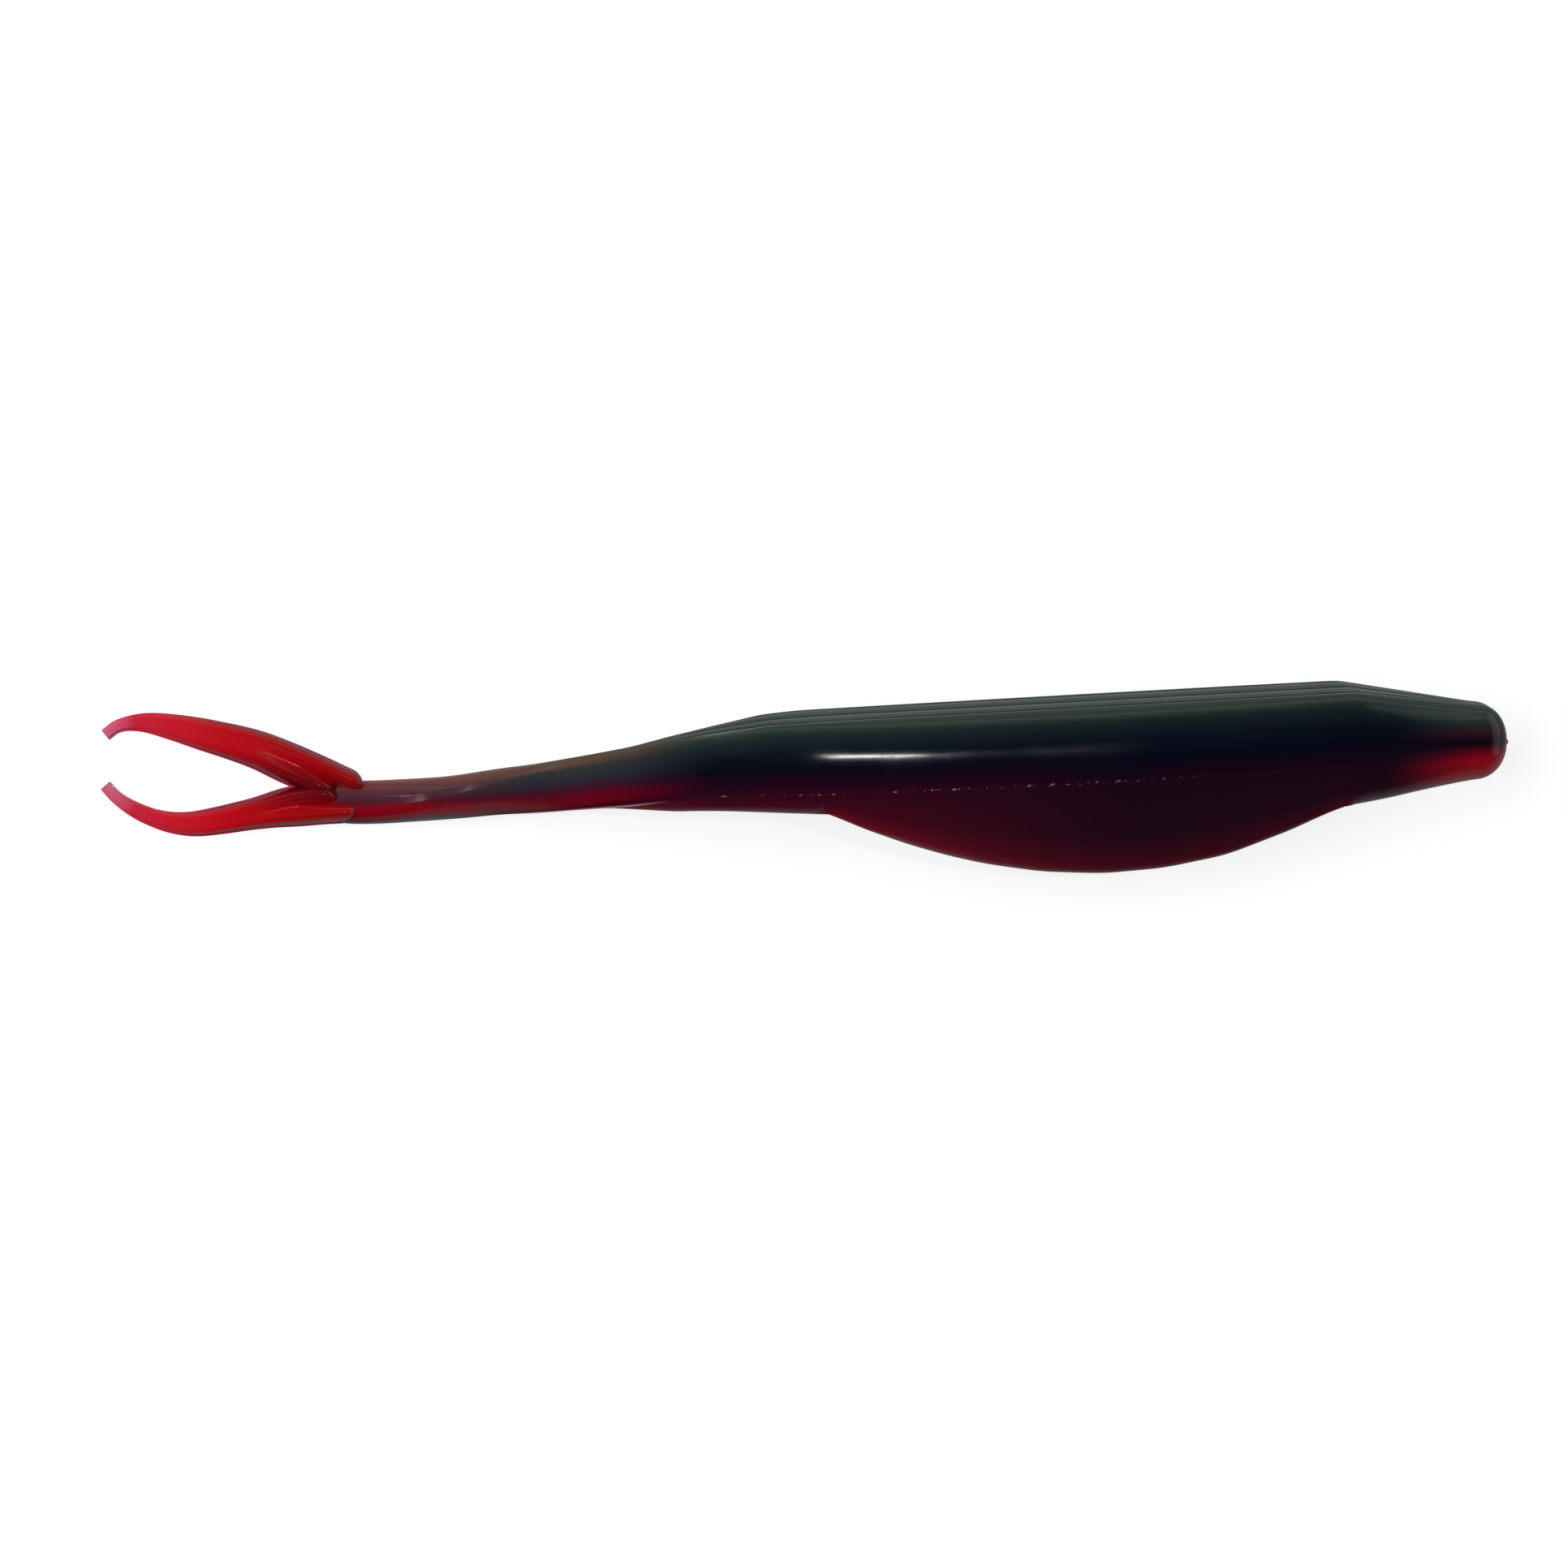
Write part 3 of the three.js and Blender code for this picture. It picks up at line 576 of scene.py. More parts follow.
@dataclass
class KeelFlap:
    """One keel flap: a wall from the belly's root line down to a rounded lip, beside the hook slot."""

    name: str
    body: str
    sign: int
    lip_radius: float = 0.9
    lip_share: float = 0.45
    least: float = 0.1
    bend_length: float = 2.2
    step: float = 0.4
    flank_columns: int = 22
    lip_columns: int = 10
    inner_columns: int = 12
    top_columns: int = 4

    def outline(self, station: float) -> Outline:
        """Return the closed section of the flap.

        Args:
            station: The distance from the fork's tip.

        Returns:
            Side, rise, level and thinness of each column, once round from the root of the flank.
        """
        root = SECTION.keel_root.at(station)
        bottom = max(SECTION.keel_depth.at(station), root + self.least)
        lip = min(self.lip_radius, (bottom - root) * self.lip_share)
        low = bottom - lip
        inner = SECTION.slot_half_width
        points = []
        for i in range(self.flank_columns):
            depth = mix(root, low, i / self.flank_columns)
            points.append((SECTION.straight_flank(station, depth), -depth))
        wide = max(self.least, (SECTION.straight_flank(station, low) - inner) / 2)
        for i in range(self.lip_columns + 1):
            turn = math.pi * i / self.lip_columns
            points.append((inner + wide + wide * math.cos(turn), -low - lip * math.sin(turn)))
        for i in range(1, self.inner_columns):
            points.append((inner, -mix(low, root, i / self.inner_columns)))
        for i in range(self.top_columns):
            points.append((mix(inner, SECTION.straight_flank(station, root), i / self.top_columns), -root))
        return [(side * self.sign, rise, SECTION.level(station, rise), 0.0) for side, rise in points]

    def build(self, finishes: "Finishes") -> bpy.types.Object:
        """Build the flap from the keel's rear to its front.

        Args:
            finishes: The bait's materials.

        Returns:
            The finished object.
        """
        stations = spaced(STATIONS.keel_rear, STATIONS.keel_front, self.step)
        piece = Loft(self.name, self.outline, PLACE_BODY).build(stations)
        middle = STATIONS.trunk_middle
        root = SECTION.keel_root.at(middle)
        hinge_side = self.sign * SECTION.straight_flank(middle, root)
        start = PLACE_BODY(middle, hinge_side, -root)
        run = PLACE_BODY(STATIONS.keel_front, 0, -root) - PLACE_BODY(STATIONS.keel_rear, 0, -root)
        down = PLACE_BODY(middle, hinge_side, -root - 1) - start
        down -= run * (down.dot(run) / run.length_squared)
        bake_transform(piece)
        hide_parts(self.body)
        piece.data.materials.append(finishes.pour)
        return piece


def spaced(start: float, end: float, step: float) -> list[float]:
    """Return evenly spaced stations from start to end, about a step apart."""
    count = max(1, round(abs(end - start) / step))
    return [mix(start, end, i / count) for i in range(count + 1)]


@dataclass
class Loft:
    """A closed skin through a row of sections, made from a grid that is wrapped round them."""

    name: str
    outline: Callable[[float], Outline]
    place: Callable[[float, float, float], Vector]

    def build(self, stations: Sequence[float]) -> bpy.types.Object:
        """Return the skin through the sections at the given stations.

        Args:
            stations: Where the sections lie, in order.

        Returns:
            The finished object, at the origin, with its place in its mesh.
        """
        rings = [self.outline(station) for station in stations]
        rows, columns = len(rings) - 1, len(rings[0])
        mesh = bmesh.new()
        bmesh.ops.create_grid(mesh, x_segments=rows, y_segments=columns, size=0.5)
        place_layer = mesh.verts.layers.float_vector.new(PLACE_ATTRIBUTE)
        thin_and_reflection_layer = mesh.verts.layers.float.new(THIN_AND_REFLECTION_ATTRIBUTE)
        for vert in mesh.verts:
            row = round((vert.co.x + 0.5) * rows)
            side, rise, level, thin = rings[row][round((vert.co.y + 0.5) * columns) % columns]
            vert[place_layer] = Vector((stations[row], side, level))
            vert[thin_and_reflection_layer] = thin
            vert.co = self.place(stations[row], side, rise)
        bmesh.ops.remove_doubles(mesh, verts=mesh.verts, dist=WELD)
        rims = [edge for edge in mesh.edges if edge.is_boundary]
        caps = bmesh.ops.holes_fill(mesh, edges=rims, sides=0)["faces"]
        bmesh.ops.recalc_face_normals(mesh, faces=mesh.faces)
        return finished(self.name, mesh, flat=caps)


def finished(name: str, mesh: bmesh.types.BMesh, flat: Iterable[bmesh.types.BMFace] = ()) -> bpy.types.Object:
    """Turn a bmesh into a linked object, smooth except at its creases.

    Args:
        name: The piece's name.
        mesh: The shape, which is freed.
        flat: Faces that keep their own flat shading.

    Returns:
        The new object.
    """
    for face in mesh.faces:
        face.smooth = True
    for face in flat:
        face.smooth = False
        for edge in face.edges:
            edge.smooth = False
    for edge in mesh.edges:
        if len(edge.link_faces) == 2 and edge.calc_face_angle(0.0) > CREASE_ANGLE:
            edge.smooth = False
    data = bpy.data.meshes.new(name)
    mesh.to_mesh(data)
    mesh.free()
    piece = bpy.data.objects.new(name, data)
    bpy.context.scene.collection.objects.link(piece)
    LOG.info("%s: %d faces", name, len(data.polygons))
    return piece


@dataclass(frozen=True)
class SkinSpan:
    """A length of body skin between the middles of two bodies, across the one joint between them."""

    name: str
    ends: Run
    bend: Run
    bodies: tuple[str, str]
    replaced: int = 2


@dataclass
class Body:
    """The body's skin: back pour and belly pour of every span from the nose to the fork."""

    step: float = 0.36
    nose_rings: int = 16
    spans: tuple[SkinSpan, ...] = (
        SkinSpan("nose", (STATIONS.trunk_middle, STATIONS.nose), (112.5, 126.5), ("trunk", "head")),
        SkinSpan("shoulder", (STATIONS.trunk_middle, STATIONS.waist_middle), (69.5, 58.5), ("trunk", "waist")),
        SkinSpan("waist", (STATIONS.waist_middle, STATIONS.stem_front_middle), (55.4, 47.9),
                 ("waist", "stem_front")),
        SkinSpan("stem_upper", (STATIONS.stem_front_middle, STATIONS.stem_middle), (47.2, 41.2),
                 ("stem_front", "stem_middle")),
        SkinSpan("stem_lower", (STATIONS.stem_middle, STATIONS.stem_rear_middle), (40.5, 34.3),
                 ("stem_middle", "stem_rear")),
        SkinSpan("stem_end", (STATIONS.stem_rear_middle, STATIONS.stem_end), (33.2, 26.2),
                 ("stem_rear", "fork_root"), replaced=1),
    )

    def stations(self, span: SkinSpan) -> list[float]:
        """Return the ring stations of a span, crowded where the nose rounds off.

        Args:
            span: The span.

        Returns:
            The stations in order.
        """
        start, end = span.ends
        if end != STATIONS.nose:
            return spaced(start, end, self.step)
        rings = spaced(start, STATIONS.nose_shoulder, self.step)
        for i in range(1, self.nose_rings + 1):
            turn = i / self.nose_rings * math.pi / 2
            rings.append(STATIONS.nose_shoulder + SECTION.nose_rounding * math.sin(turn))
        return rings

    def build(self, finishes: "Finishes") -> list[bpy.types.Object]:
        """Build and dress both pours of every span.

        Args:
            finishes: The bait's materials.

        Returns:
            The finished pieces.
        """
        return [self.build_pour(span, pour, finishes) for span in self.spans for pour in Pour]

    def build_pour(self, span: SkinSpan, pour: Pour, finishes: "Finishes") -> bpy.types.Object:
        """Build one pour of one span and dress it.

        Args:
            span: The span.
            pour: The pour.
            finishes: The bait's materials.

        Returns:
            The finished piece.
        """
        word = pour.name.lower()
        loft = Loft(f"{span.name}_{word}_skin", lambda station: SECTION.outline(station, pour), PLACE_BODY)
        piece = loft.build(self.stations(span))
        start, end = (PLACE_BODY(station, 0, 0) for station in span.bend)
        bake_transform(piece)
        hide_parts(*[f"{body}_{word}" for body in span.bodies[: span.replaced]])
        piece.data.materials.append(finishes.pour)
        return piece


@dataclass
class Tine:
    """One tine of the fork: a flat-bottomed leaf with an outer and an inner rib, thin flash and a ribbon tip."""

    side: str
    sign: int
    route: tuple[Run, ...]
    inner_end: float
    outer_end: float
    step: float = 0.2
    rib_columns: int = 14
    flash_width: float = 0.16
    flash_thickness: float = 0.07
    flash_taper: float = 0.8
    half_width: Curve = Curve(
        ((0.3, 0.4), (1.6, 0.44), (3.2, 0.66), (5.4, 0.95), (8.5, 1.28), (12, 1.5), (16.5, 1.75),
         (24.5, 1.75)), 0.8)
    height: Curve = Curve(((0.3, 0.3), (3, 0.42), (6, 0.8), (10, 1.25), (15, 1.7), (20, 2.1), (25, 2.3)), 1.0)
    groove: Curve = Curve(((14, 0.0), (17.5, 0.12), (20.5, 0.4), (25, 0.48)), 1.0)
    groove_shape: float = 1.7
    crest: float = 0.46
    dome_shape: float = 2.3
    crowding: float = 1.4
    lobe_length: float = 1.7
    lobe_least: Run = (0.04, 0.06)
    flat_share: float = 0.6
    slimness: float = 1.0
    slim_from: Run = (1.5, 5.0)
    slim_to: Run = (12.5, 18.5)
    ribbon: Run = (0.3, 3.0)
    thin_share: float = 0.16
    spread_bend: Run = (19.5, 13.6)
    curl_bend: Run = (11.2, 5.8)

    def aside(self, station: float) -> float:
        """Return how far the tine's middle is from the fork's middle line, along a smooth route.

        Args:
            station: The distance from the fork's tip.

        Returns:
            The distance, positive towards the tine's own side.
        """
        points = self.route
        if station <= points[0][0]:
            return points[0][1] + (station - points[0][0]) * self.slope(0)
        i = next((i for i in range(len(points) - 1) if station <= points[i + 1][0]), len(points) - 2)
        (start, low), (end, high) = points[i], points[i + 1]
        length = end - start
        t = (station - start) / length
        return (
            (2 * t**3 - 3 * t**2 + 1) * low
            + (t**3 - 2 * t**2 + t) * self.slope(i) * length
            + (3 * t**2 - 2 * t**3) * high
            + (t**3 - t**2) * self.slope(i + 1) * length
        )

    def slope(self, index: int) -> float:
        """Return the route's slope at one of its points."""
        first = max(0, index - 1)
        last = min(len(self.route) - 1, index + 1)
        return (self.route[last][1] - self.route[first][1]) / (self.route[last][0] - self.route[first][0])

    def place(self, station: float, side: float, rise: float) -> Vector:
        """Return the frame place of a section point.

        Args:
            station: The distance from the fork's tip.
            side: The distance from the tine's middle, positive away from the fork's middle.
            rise: The height above the fork's flat underside.

        Returns:
            The place in metres.
        """
        middle = Vector((station, self.sign * self.aside(station) - LINE.stem_offset, 0))
        further = station + LINE.probe
        ahead = Vector((further, self.sign * self.aside(further) - LINE.stem_offset, 0))
        along = (ahead - middle).normalized()
        outward = Vector((0, 0, 1)).cross(along) * self.sign
        return (middle + outward * side + Vector((0, 0, rise)) + ORIGIN) * MM

    def width_at(self, station: float) -> float:
        """Return half of the tine's width at a station."""
        slim = mix(self.slimness, 1.0, ease(station, *self.slim_to) + 1 - ease(station, *self.slim_from))
        return self.half_width.at(station) * min(1.0, slim)

    def lobe(self, station: float, end: float) -> float:
        """Return how much of its width and height a rib has left near its round root end."""
        past = max(0.0, station - (end - self.lobe_length)) / self.lobe_length
        return math.sqrt(max(0.0, 1 - min(1.0, past) ** 2))

    def rib(self, station: float, end: float) -> list[tuple[float, float]]:
        """Return one rib's half of the section.

        Args:
            station: The distance from the fork's tip.
            end: The station of the rib's root end.

        Returns:
            Side and rise of each column, from the groove in the middle over the rib to the flash and under it.
        """
        left = self.lobe(station, end)
        wide = self.width_at(station) * max(self.lobe_least[0], left)
        height = self.height.at(station) * max(self.lobe_least[1], left)
        groove = self.groove.at(station)
        edge = self.flash_thickness
        points = []
        for i in range(self.rib_columns + 1):
            t = 1 - (1 - i / self.rib_columns) ** self.crowding
            if t < self.crest:
                share = 1 - groove * ((self.crest - t) / self.crest) ** self.groove_shape
            else:
                share = math.sqrt(max(0.0, 1 - ((t - self.crest) / (1 - self.crest)) ** self.dome_shape))
            points.append((wide * t, edge + max(0.0, height - edge) * share))
        rim = wide + self.flash_width * left
        return [*points, (rim, edge * self.flash_taper), (rim, 0.0), (wide * self.flat_share, 0.0)]

    def outline(self, station: float) -> Outline:
        """Return the closed section of the tine.

        Args:
            station: The distance from the fork's tip.

        Returns:
            Side, rise, level across the tine and thinness of each column, once round.
        """
        inner = [(-side, rise) for side, rise in self.rib(station, self.inner_end)]
        loop = [*self.rib(station, self.outer_end), (0.0, 0.0), *inner[:0:-1]]
        wide = self.width_at(station)
        # The last value marks the thin ribbon tip and the thin edge along the underside, which the fork's finish
        # paints pink as light shining through.
        edge = self.thin_share * self.height.at(station)
        thin = 1 - ease(station, *self.ribbon)
        return [(side, rise, side / wide, max(thin, 1 - ease(rise, 0.0, edge))) for side, rise in loop]

    def build(self, finishes: "Finishes") -> list[bpy.types.Object]:
        """Build the tine's root half and its tip half, which meet at the tine's middle.

        Args:
            finishes: The bait's materials.

        Returns:
            The two pieces.
        """
        base, tip = f"tine_{self.side}_base", f"tine_{self.side}_tip"
        root = max(self.inner_end, self.outer_end)
        halves = (
            ("root", (root, STATIONS.tine_middle), ("fork_root", base), self.spread_bend),
            ("tip", (STATIONS.tine_middle, STATIONS.tine_tip), (base, tip), self.curl_bend),
        )
        pieces = []
        for word, ends, bodies, bend in halves:
            loft = Loft(f"tine_{self.side}_{word}_skin", self.outline, self.place)
            piece = loft.build(spaced(*ends, self.step))
            start, end = (self.place(station, 0, 0) for station in bend)
            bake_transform(piece)
            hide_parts(*bodies)
            piece.data.materials.append(finishes.fork)
            pieces.append(piece)
        return pieces


@dataclass
class GateNub:
    """The torn stub on the nose, where the pour was cut from its sprue."""

    radius: float = 0.4
    torn_radius: float = 0.22
    length: float = 0.42
    sunk: float = 0.05
    rounding: float = 0.08
    rounding_steps: int = 3
    rim_angle: float = math.radians(40)
    sides: int = 20
    level: float = 0.02

    def build(self, finishes: "Finishes") -> bpy.types.Object:
        """Build the nub, which rides on the head.

        Args:
            finishes: The bait's materials.

        Returns:
            The finished object.
        """
        low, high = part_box("gate_nub")
        middle = (low + high) / 2
        along, back, right = LINE.axes(STATIONS.nose)
        mesh = bmesh.new()
        turn = Matrix((right, back, along)).transposed().to_4x4()
        bmesh.ops.create_cone(
            mesh, cap_ends=True, segments=self.sides, radius1=self.radius * MM, radius2=self.torn_radius * MM,
            depth=self.length * MM, matrix=Matrix.Translation(middle - along * self.sunk * MM) @ turn)
        rims = [edge for edge in mesh.edges if edge.calc_face_angle(0.0) > self.rim_angle]
        bmesh.ops.bevel(mesh, geom=rims, offset=self.rounding * MM, offset_type="OFFSET",
                        segments=self.rounding_steps, profile=0.5, affect="EDGES", material=-1)
        layer = mesh.verts.layers.float_vector.new(PLACE_ATTRIBUTE)
        for vert in mesh.verts:
            vert[layer] = Vector((STATIONS.nose, 0.0, self.level))
        piece = finished("gate_nub_skin", mesh)
        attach(piece, "head")
        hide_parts("gate_nub")
        piece.data.materials.append(finishes.pour)
        return piece


Socket = bpy.types.NodeSocket


class Graph:
    """Short ways to add and join the nodes of one material or node group."""

    def __init__(self, tree: bpy.types.NodeTree) -> None:
        """Keep the tree that nodes are added to."""
        self.tree = tree

    def node(self, kind: str, **settings: object) -> bpy.types.Node:
        """Return a new node.

        Args:
            kind: The node's type.
            **settings: The node's own properties.

        Returns:
            The node.
        """
        made = self.tree.nodes.new(kind)
        for key, value in settings.items():
            setattr(made, key, value)
        return made

    def feed(self, socket: Socket, value: object) -> None:
        """Join a socket to an output, or set its own value.

        Args:
            socket: The input socket.
            value: The output to join, or the value.
        """
        if isinstance(value, bpy.types.NodeSocket):
            self.tree.links.new(value, socket)
        else:
            socket.default_value = value

    def math(self, operation: str, first: object, second: object = 0.0, clamp: bool = False) -> Socket:
        """Return the result of one sum.

        Args:
            operation: The sum's name.
            first: The first value.
            second: The second value.
            clamp: Whether the result is kept between 0 and 1.

        Returns:
            The result.
        """
        made = self.node("ShaderNodeMath", operation=operation, use_clamp=clamp)
        self.feed(made.inputs[0], first)
        self.feed(made.inputs[1], second)
        return made.outputs[0]

    def step(self, value: object, start: float, end: float, low: float = 0.0, high: float = 1.0) -> Socket:
        """Return a smooth step between two values.

        Args:
            value: The value that steers the step.
            start: Where the step starts.
            end: Where the step ends.
            low: The result before the step.
            high: The result after the step.

        Returns:
            The result.
        """
        made = self.node("ShaderNodeMapRange", interpolation_type="SMOOTHSTEP")
        for index, item in enumerate((value, start, end, low, high)):
            self.feed(made.inputs[index], item)
        return made.outputs[0]

    def blend(self, share: object, first: object, second: object) -> Socket:
        """Return a colour between two colours.

        Args:
            share: How much of the second colour there is.
            first: The first colour.
            second: The second colour.

        Returns:
            The mixed colour.
        """
        made = self.node("ShaderNodeMix", data_type="RGBA", blend_type="MIX")
        self.feed(made.inputs[0], share)
        self.feed(made.inputs[6], first)
        self.feed(made.inputs[7], second)
        return made.outputs[2]

    def ramp(self, value: object, stops: Sequence[tuple[float, Colour]]) -> Socket:
        """Return the colour of a ramp.

        Args:
            value: The place on the ramp, from 0 to 1.
            stops: The place and the colour of each stop, in order.

        Returns:
            The colour.
        """
        made = self.node("ShaderNodeValToRGB")
        elements = made.color_ramp.elements
        while len(elements) < len(stops):
            elements.new(1.0)
        for element, (place, colour) in zip(elements, stops):
            element.position = place
            element.color = colour
        self.feed(made.inputs[0], value)
        return made.outputs[0]

    def noise(self, place: Socket, scale: float, detail: float = 2.0, roughness: float = 0.5) -> Socket:
        """Return noise at a place.

        Args:
            place: The coordinates.
            scale: How many waves there are in a metre.
            detail: How many finer layers are added.
            roughness: How strong the finer layers are.

        Returns:
            The noise, from 0 to 1.
        """
        made = self.node("ShaderNodeTexNoise", noise_dimensions="3D")
        self.feed(made.inputs["Vector"], place)
        self.feed(made.inputs["Scale"], scale)
        self.feed(made.inputs["Detail"], detail)
        self.feed(made.inputs["Roughness"], roughness)
        return made.outputs[0]

    def group(self, tree: bpy.types.NodeTree, **inputs: object) -> bpy.types.Node:
        """Return a node that uses a group.

        Args:
            tree: The group.
            **inputs: What to feed to each input, by its name.

        Returns:
            The node.
        """
        made = self.node("ShaderNodeGroup", node_tree=tree)
        for key, value in inputs.items():
            self.feed(made.inputs[key], value)
        return made


def new_group(
    name: str, inputs: dict[str, tuple[str, object]], outputs: dict[str, str]
) -> tuple[Graph, dict[str, Socket], dict[str, Socket]]:
    """Start a shader node group.

    Args:
        name: The group's name.
        inputs: The socket kind and default of each input.
        outputs: The socket kind of each output.

    Returns:
        The graph, its input sockets by name and its output sockets by name.
    """
    tree = bpy.data.node_groups.new(name, "ShaderNodeTree")
    for key, (kind, default) in inputs.items():
        socket = tree.interface.new_socket(key, in_out="INPUT", socket_type=kind)
        if default is not None:
            socket.default_value = default
    for key, kind in outputs.items():
        tree.interface.new_socket(key, in_out="OUTPUT", socket_type=kind)
    graph = Graph(tree)
    start = graph.node("NodeGroupInput")
    end = graph.node("NodeGroupOutput")
    return graph, {key: start.outputs[key] for key in inputs}, {key: end.inputs[key] for key in outputs}


FLOAT, COLOUR, VECTOR = "NodeSocketFloat", "NodeSocketColor", "NodeSocketVector"


@dataclass(frozen=True)
class Specks:
    """Fine pale glitter and bubbles just under the plastic's surface."""

    scale: float = 9000.0
    patch_scale: float = 420.0
    size: Run = (0.71, 0.78)
    patch: Run = (0.42, 0.62)

    def group(self) -> bpy.types.NodeTree:
        """Return the group that gives the speck mask, stronger where there is more of it."""
        graph, given, put = new_group(
            "under_surface_specks", {"Place": (VECTOR, None), "Amount": (FLOAT, 1.0)}, {"Mask": FLOAT})
        fine = graph.noise(given["Place"], self.scale, 1.0)
        broad = graph.noise(given["Place"], self.patch_scale, 2.0)
        shown = graph.math("MULTIPLY", graph.step(fine, *self.size), graph.step(broad, *self.patch))
        graph.feed(put["Mask"], graph.math("MULTIPLY", shown, given["Amount"]))
        return graph.tree


@dataclass(frozen=True)
class SkinRelief:
    """The slight unevenness of a moulded soft surface: broad ripples, fine orange peel and handling smudges."""

    ripple_scale: float = 160.0
    peel_scale: float = 1900.0
    smudge_scale: float = 90.0
    smudge: Run = (0.35, 0.7)
    smudge_change: Run = (-0.02, 0.04)

    def group(self) -> bpy.types.NodeTree:
        """Return the group that gives the relief's height and a roughness that varies with it."""
        graph, given, put = new_group(
            "moulded_skin_relief",
            {"Place": (VECTOR, None), "Peel": (FLOAT, 0.3), "Gloss": (FLOAT, 0.25)},
            {"Height": FLOAT, "Roughness": FLOAT})
        ripple = graph.noise(given["Place"], self.ripple_scale, 2.0)
        peel = graph.noise(given["Place"], self.peel_scale, 3.0)
        height = graph.math("ADD", ripple, graph.math("MULTIPLY", peel, given["Peel"]))
        graph.feed(put["Height"], height)
        smudge = graph.noise(given["Place"], self.smudge_scale, 4.0, 0.6)
        spread = graph.step(smudge, *self.smudge, *self.smudge_change)
        graph.feed(put["Roughness"], graph.math("ADD", given["Gloss"], spread, clamp=True))
        return graph.tree


@dataclass(frozen=True)
class PourTint:
    """Colours of the body by level, for the trunk, the keel's rear, the nose, the stem and the stem's fork end.

    A level of -1 is the lowest rim, 0 the parting plane and 1 the middle of the back.
    Near the middle of the back the grey-green is partly a painted sheen, and the bright red along the keel's
    lowest rim and over the nose's lower half is a painted glow of light through the clear belly pour.
    """

    # Trunk: the red near the lowest rim is a painted glow of light through the keel's thin edge, and the
    # grey-green near the middle of the back is partly a painted sheen.
    trunk: Stops = (
        (-1.0, (116, 22, 36)), (-0.88, (80, 11, 32)), (-0.6, (46, 7, 31)), (-0.02, (40, 5, 29)),
        (0.1, (28, 5, 30)), (0.35, (8, 9, 32)), (0.6, (10, 20, 36)), (0.85, (26, 42, 42)), (1.0, (54, 70, 60)))
    # Keel's rear: the same painted glow along the lowest rim and partly painted sheen near the middle of the back.
    keel_rear: Stops = (
        (-1.0, (166, 50, 66)), (-0.84, (128, 16, 40)), (-0.55, (92, 8, 36)), (-0.02, (66, 6, 34)),
        (0.14, (44, 5, 32)), (0.4, (10, 11, 32)), (0.6, (14, 26, 38)), (0.85, (34, 50, 50)), (1.0, (56, 72, 62)))
    # Nose: the bright red lower half is a painted glow of light through the clear belly pour, and the grey-green
    # near the top is partly a painted sheen.
    nose: Stops = (
        (-1.0, (120, 30, 34)), (-0.75, (190, 8, 30)), (-0.2, (196, 6, 34)), (0.04, (120, 4, 26)),
        (0.18, (34, 4, 22)), (0.3, (30, 6, 26)), (0.44, (66, 24, 38)), (0.66, (44, 56, 54)), (1.0, (56, 72, 62)))
    stem: Stops = (
        (-1.0, (176, 60, 80)), (-0.1, (150, 20, 44)), (0.05, (70, 0, 20)), (0.13, (136, 0, 28)),
        (0.28, (136, 2, 36)), (0.42, (84, 26, 54)), (0.6, (58, 56, 68)), (0.82, (66, 68, 68)),
        (0.87, (108, 80, 68)))
    root: Stops = (
        (-1.0, (40, 0, 10)), (0.06, (60, 0, 14)), (0.14, (160, 0, 26)), (0.34, (176, 4, 30)),
        (0.48, (110, 26, 46)), (0.66, (96, 52, 68)), (0.84, (120, 60, 66)), (0.92, (150, 52, 58)),
        (1.0, (160, 60, 60)))

    rear_run: Run = (96.0, 66.0)
    nose_run: Run = (119.0, 130.5)
    stem_run: Run = (55.0, 42.0)
    root_run: Run = (40.0, 27.0)

    def group(self) -> bpy.types.NodeTree:
        """Return the group that gives the body's colour from a station and a level."""
        graph, given, put = new_group(
            "two_pour_tint", {"Station": (FLOAT, 0.0), "Level": (FLOAT, 0.0)}, {"Colour": COLOUR})
        level = graph.math("MULTIPLY_ADD", given["Level"], 0.5)
        level.node.inputs[2].default_value = 0.5
        parts = [
            graph.ramp(level, [((place + 1) / 2, shade(*colour)) for place, colour in stops])
            for stops in (self.trunk, self.keel_rear, self.nose, self.stem, self.root)
        ]
        colour = parts[0]
        for part, run in zip(parts[1:], (self.rear_run, self.nose_run, self.stem_run, self.root_run)):
            colour = graph.blend(graph.step(given["Station"], *run), colour, part)
        graph.feed(put["Colour"], colour)
        return graph.tree


@dataclass(frozen=True)
class Places:
    """Where a shaded point lies on the bait, as sockets."""

    spot: Socket
    station: Socket
    level: Socket
    thin: Socket


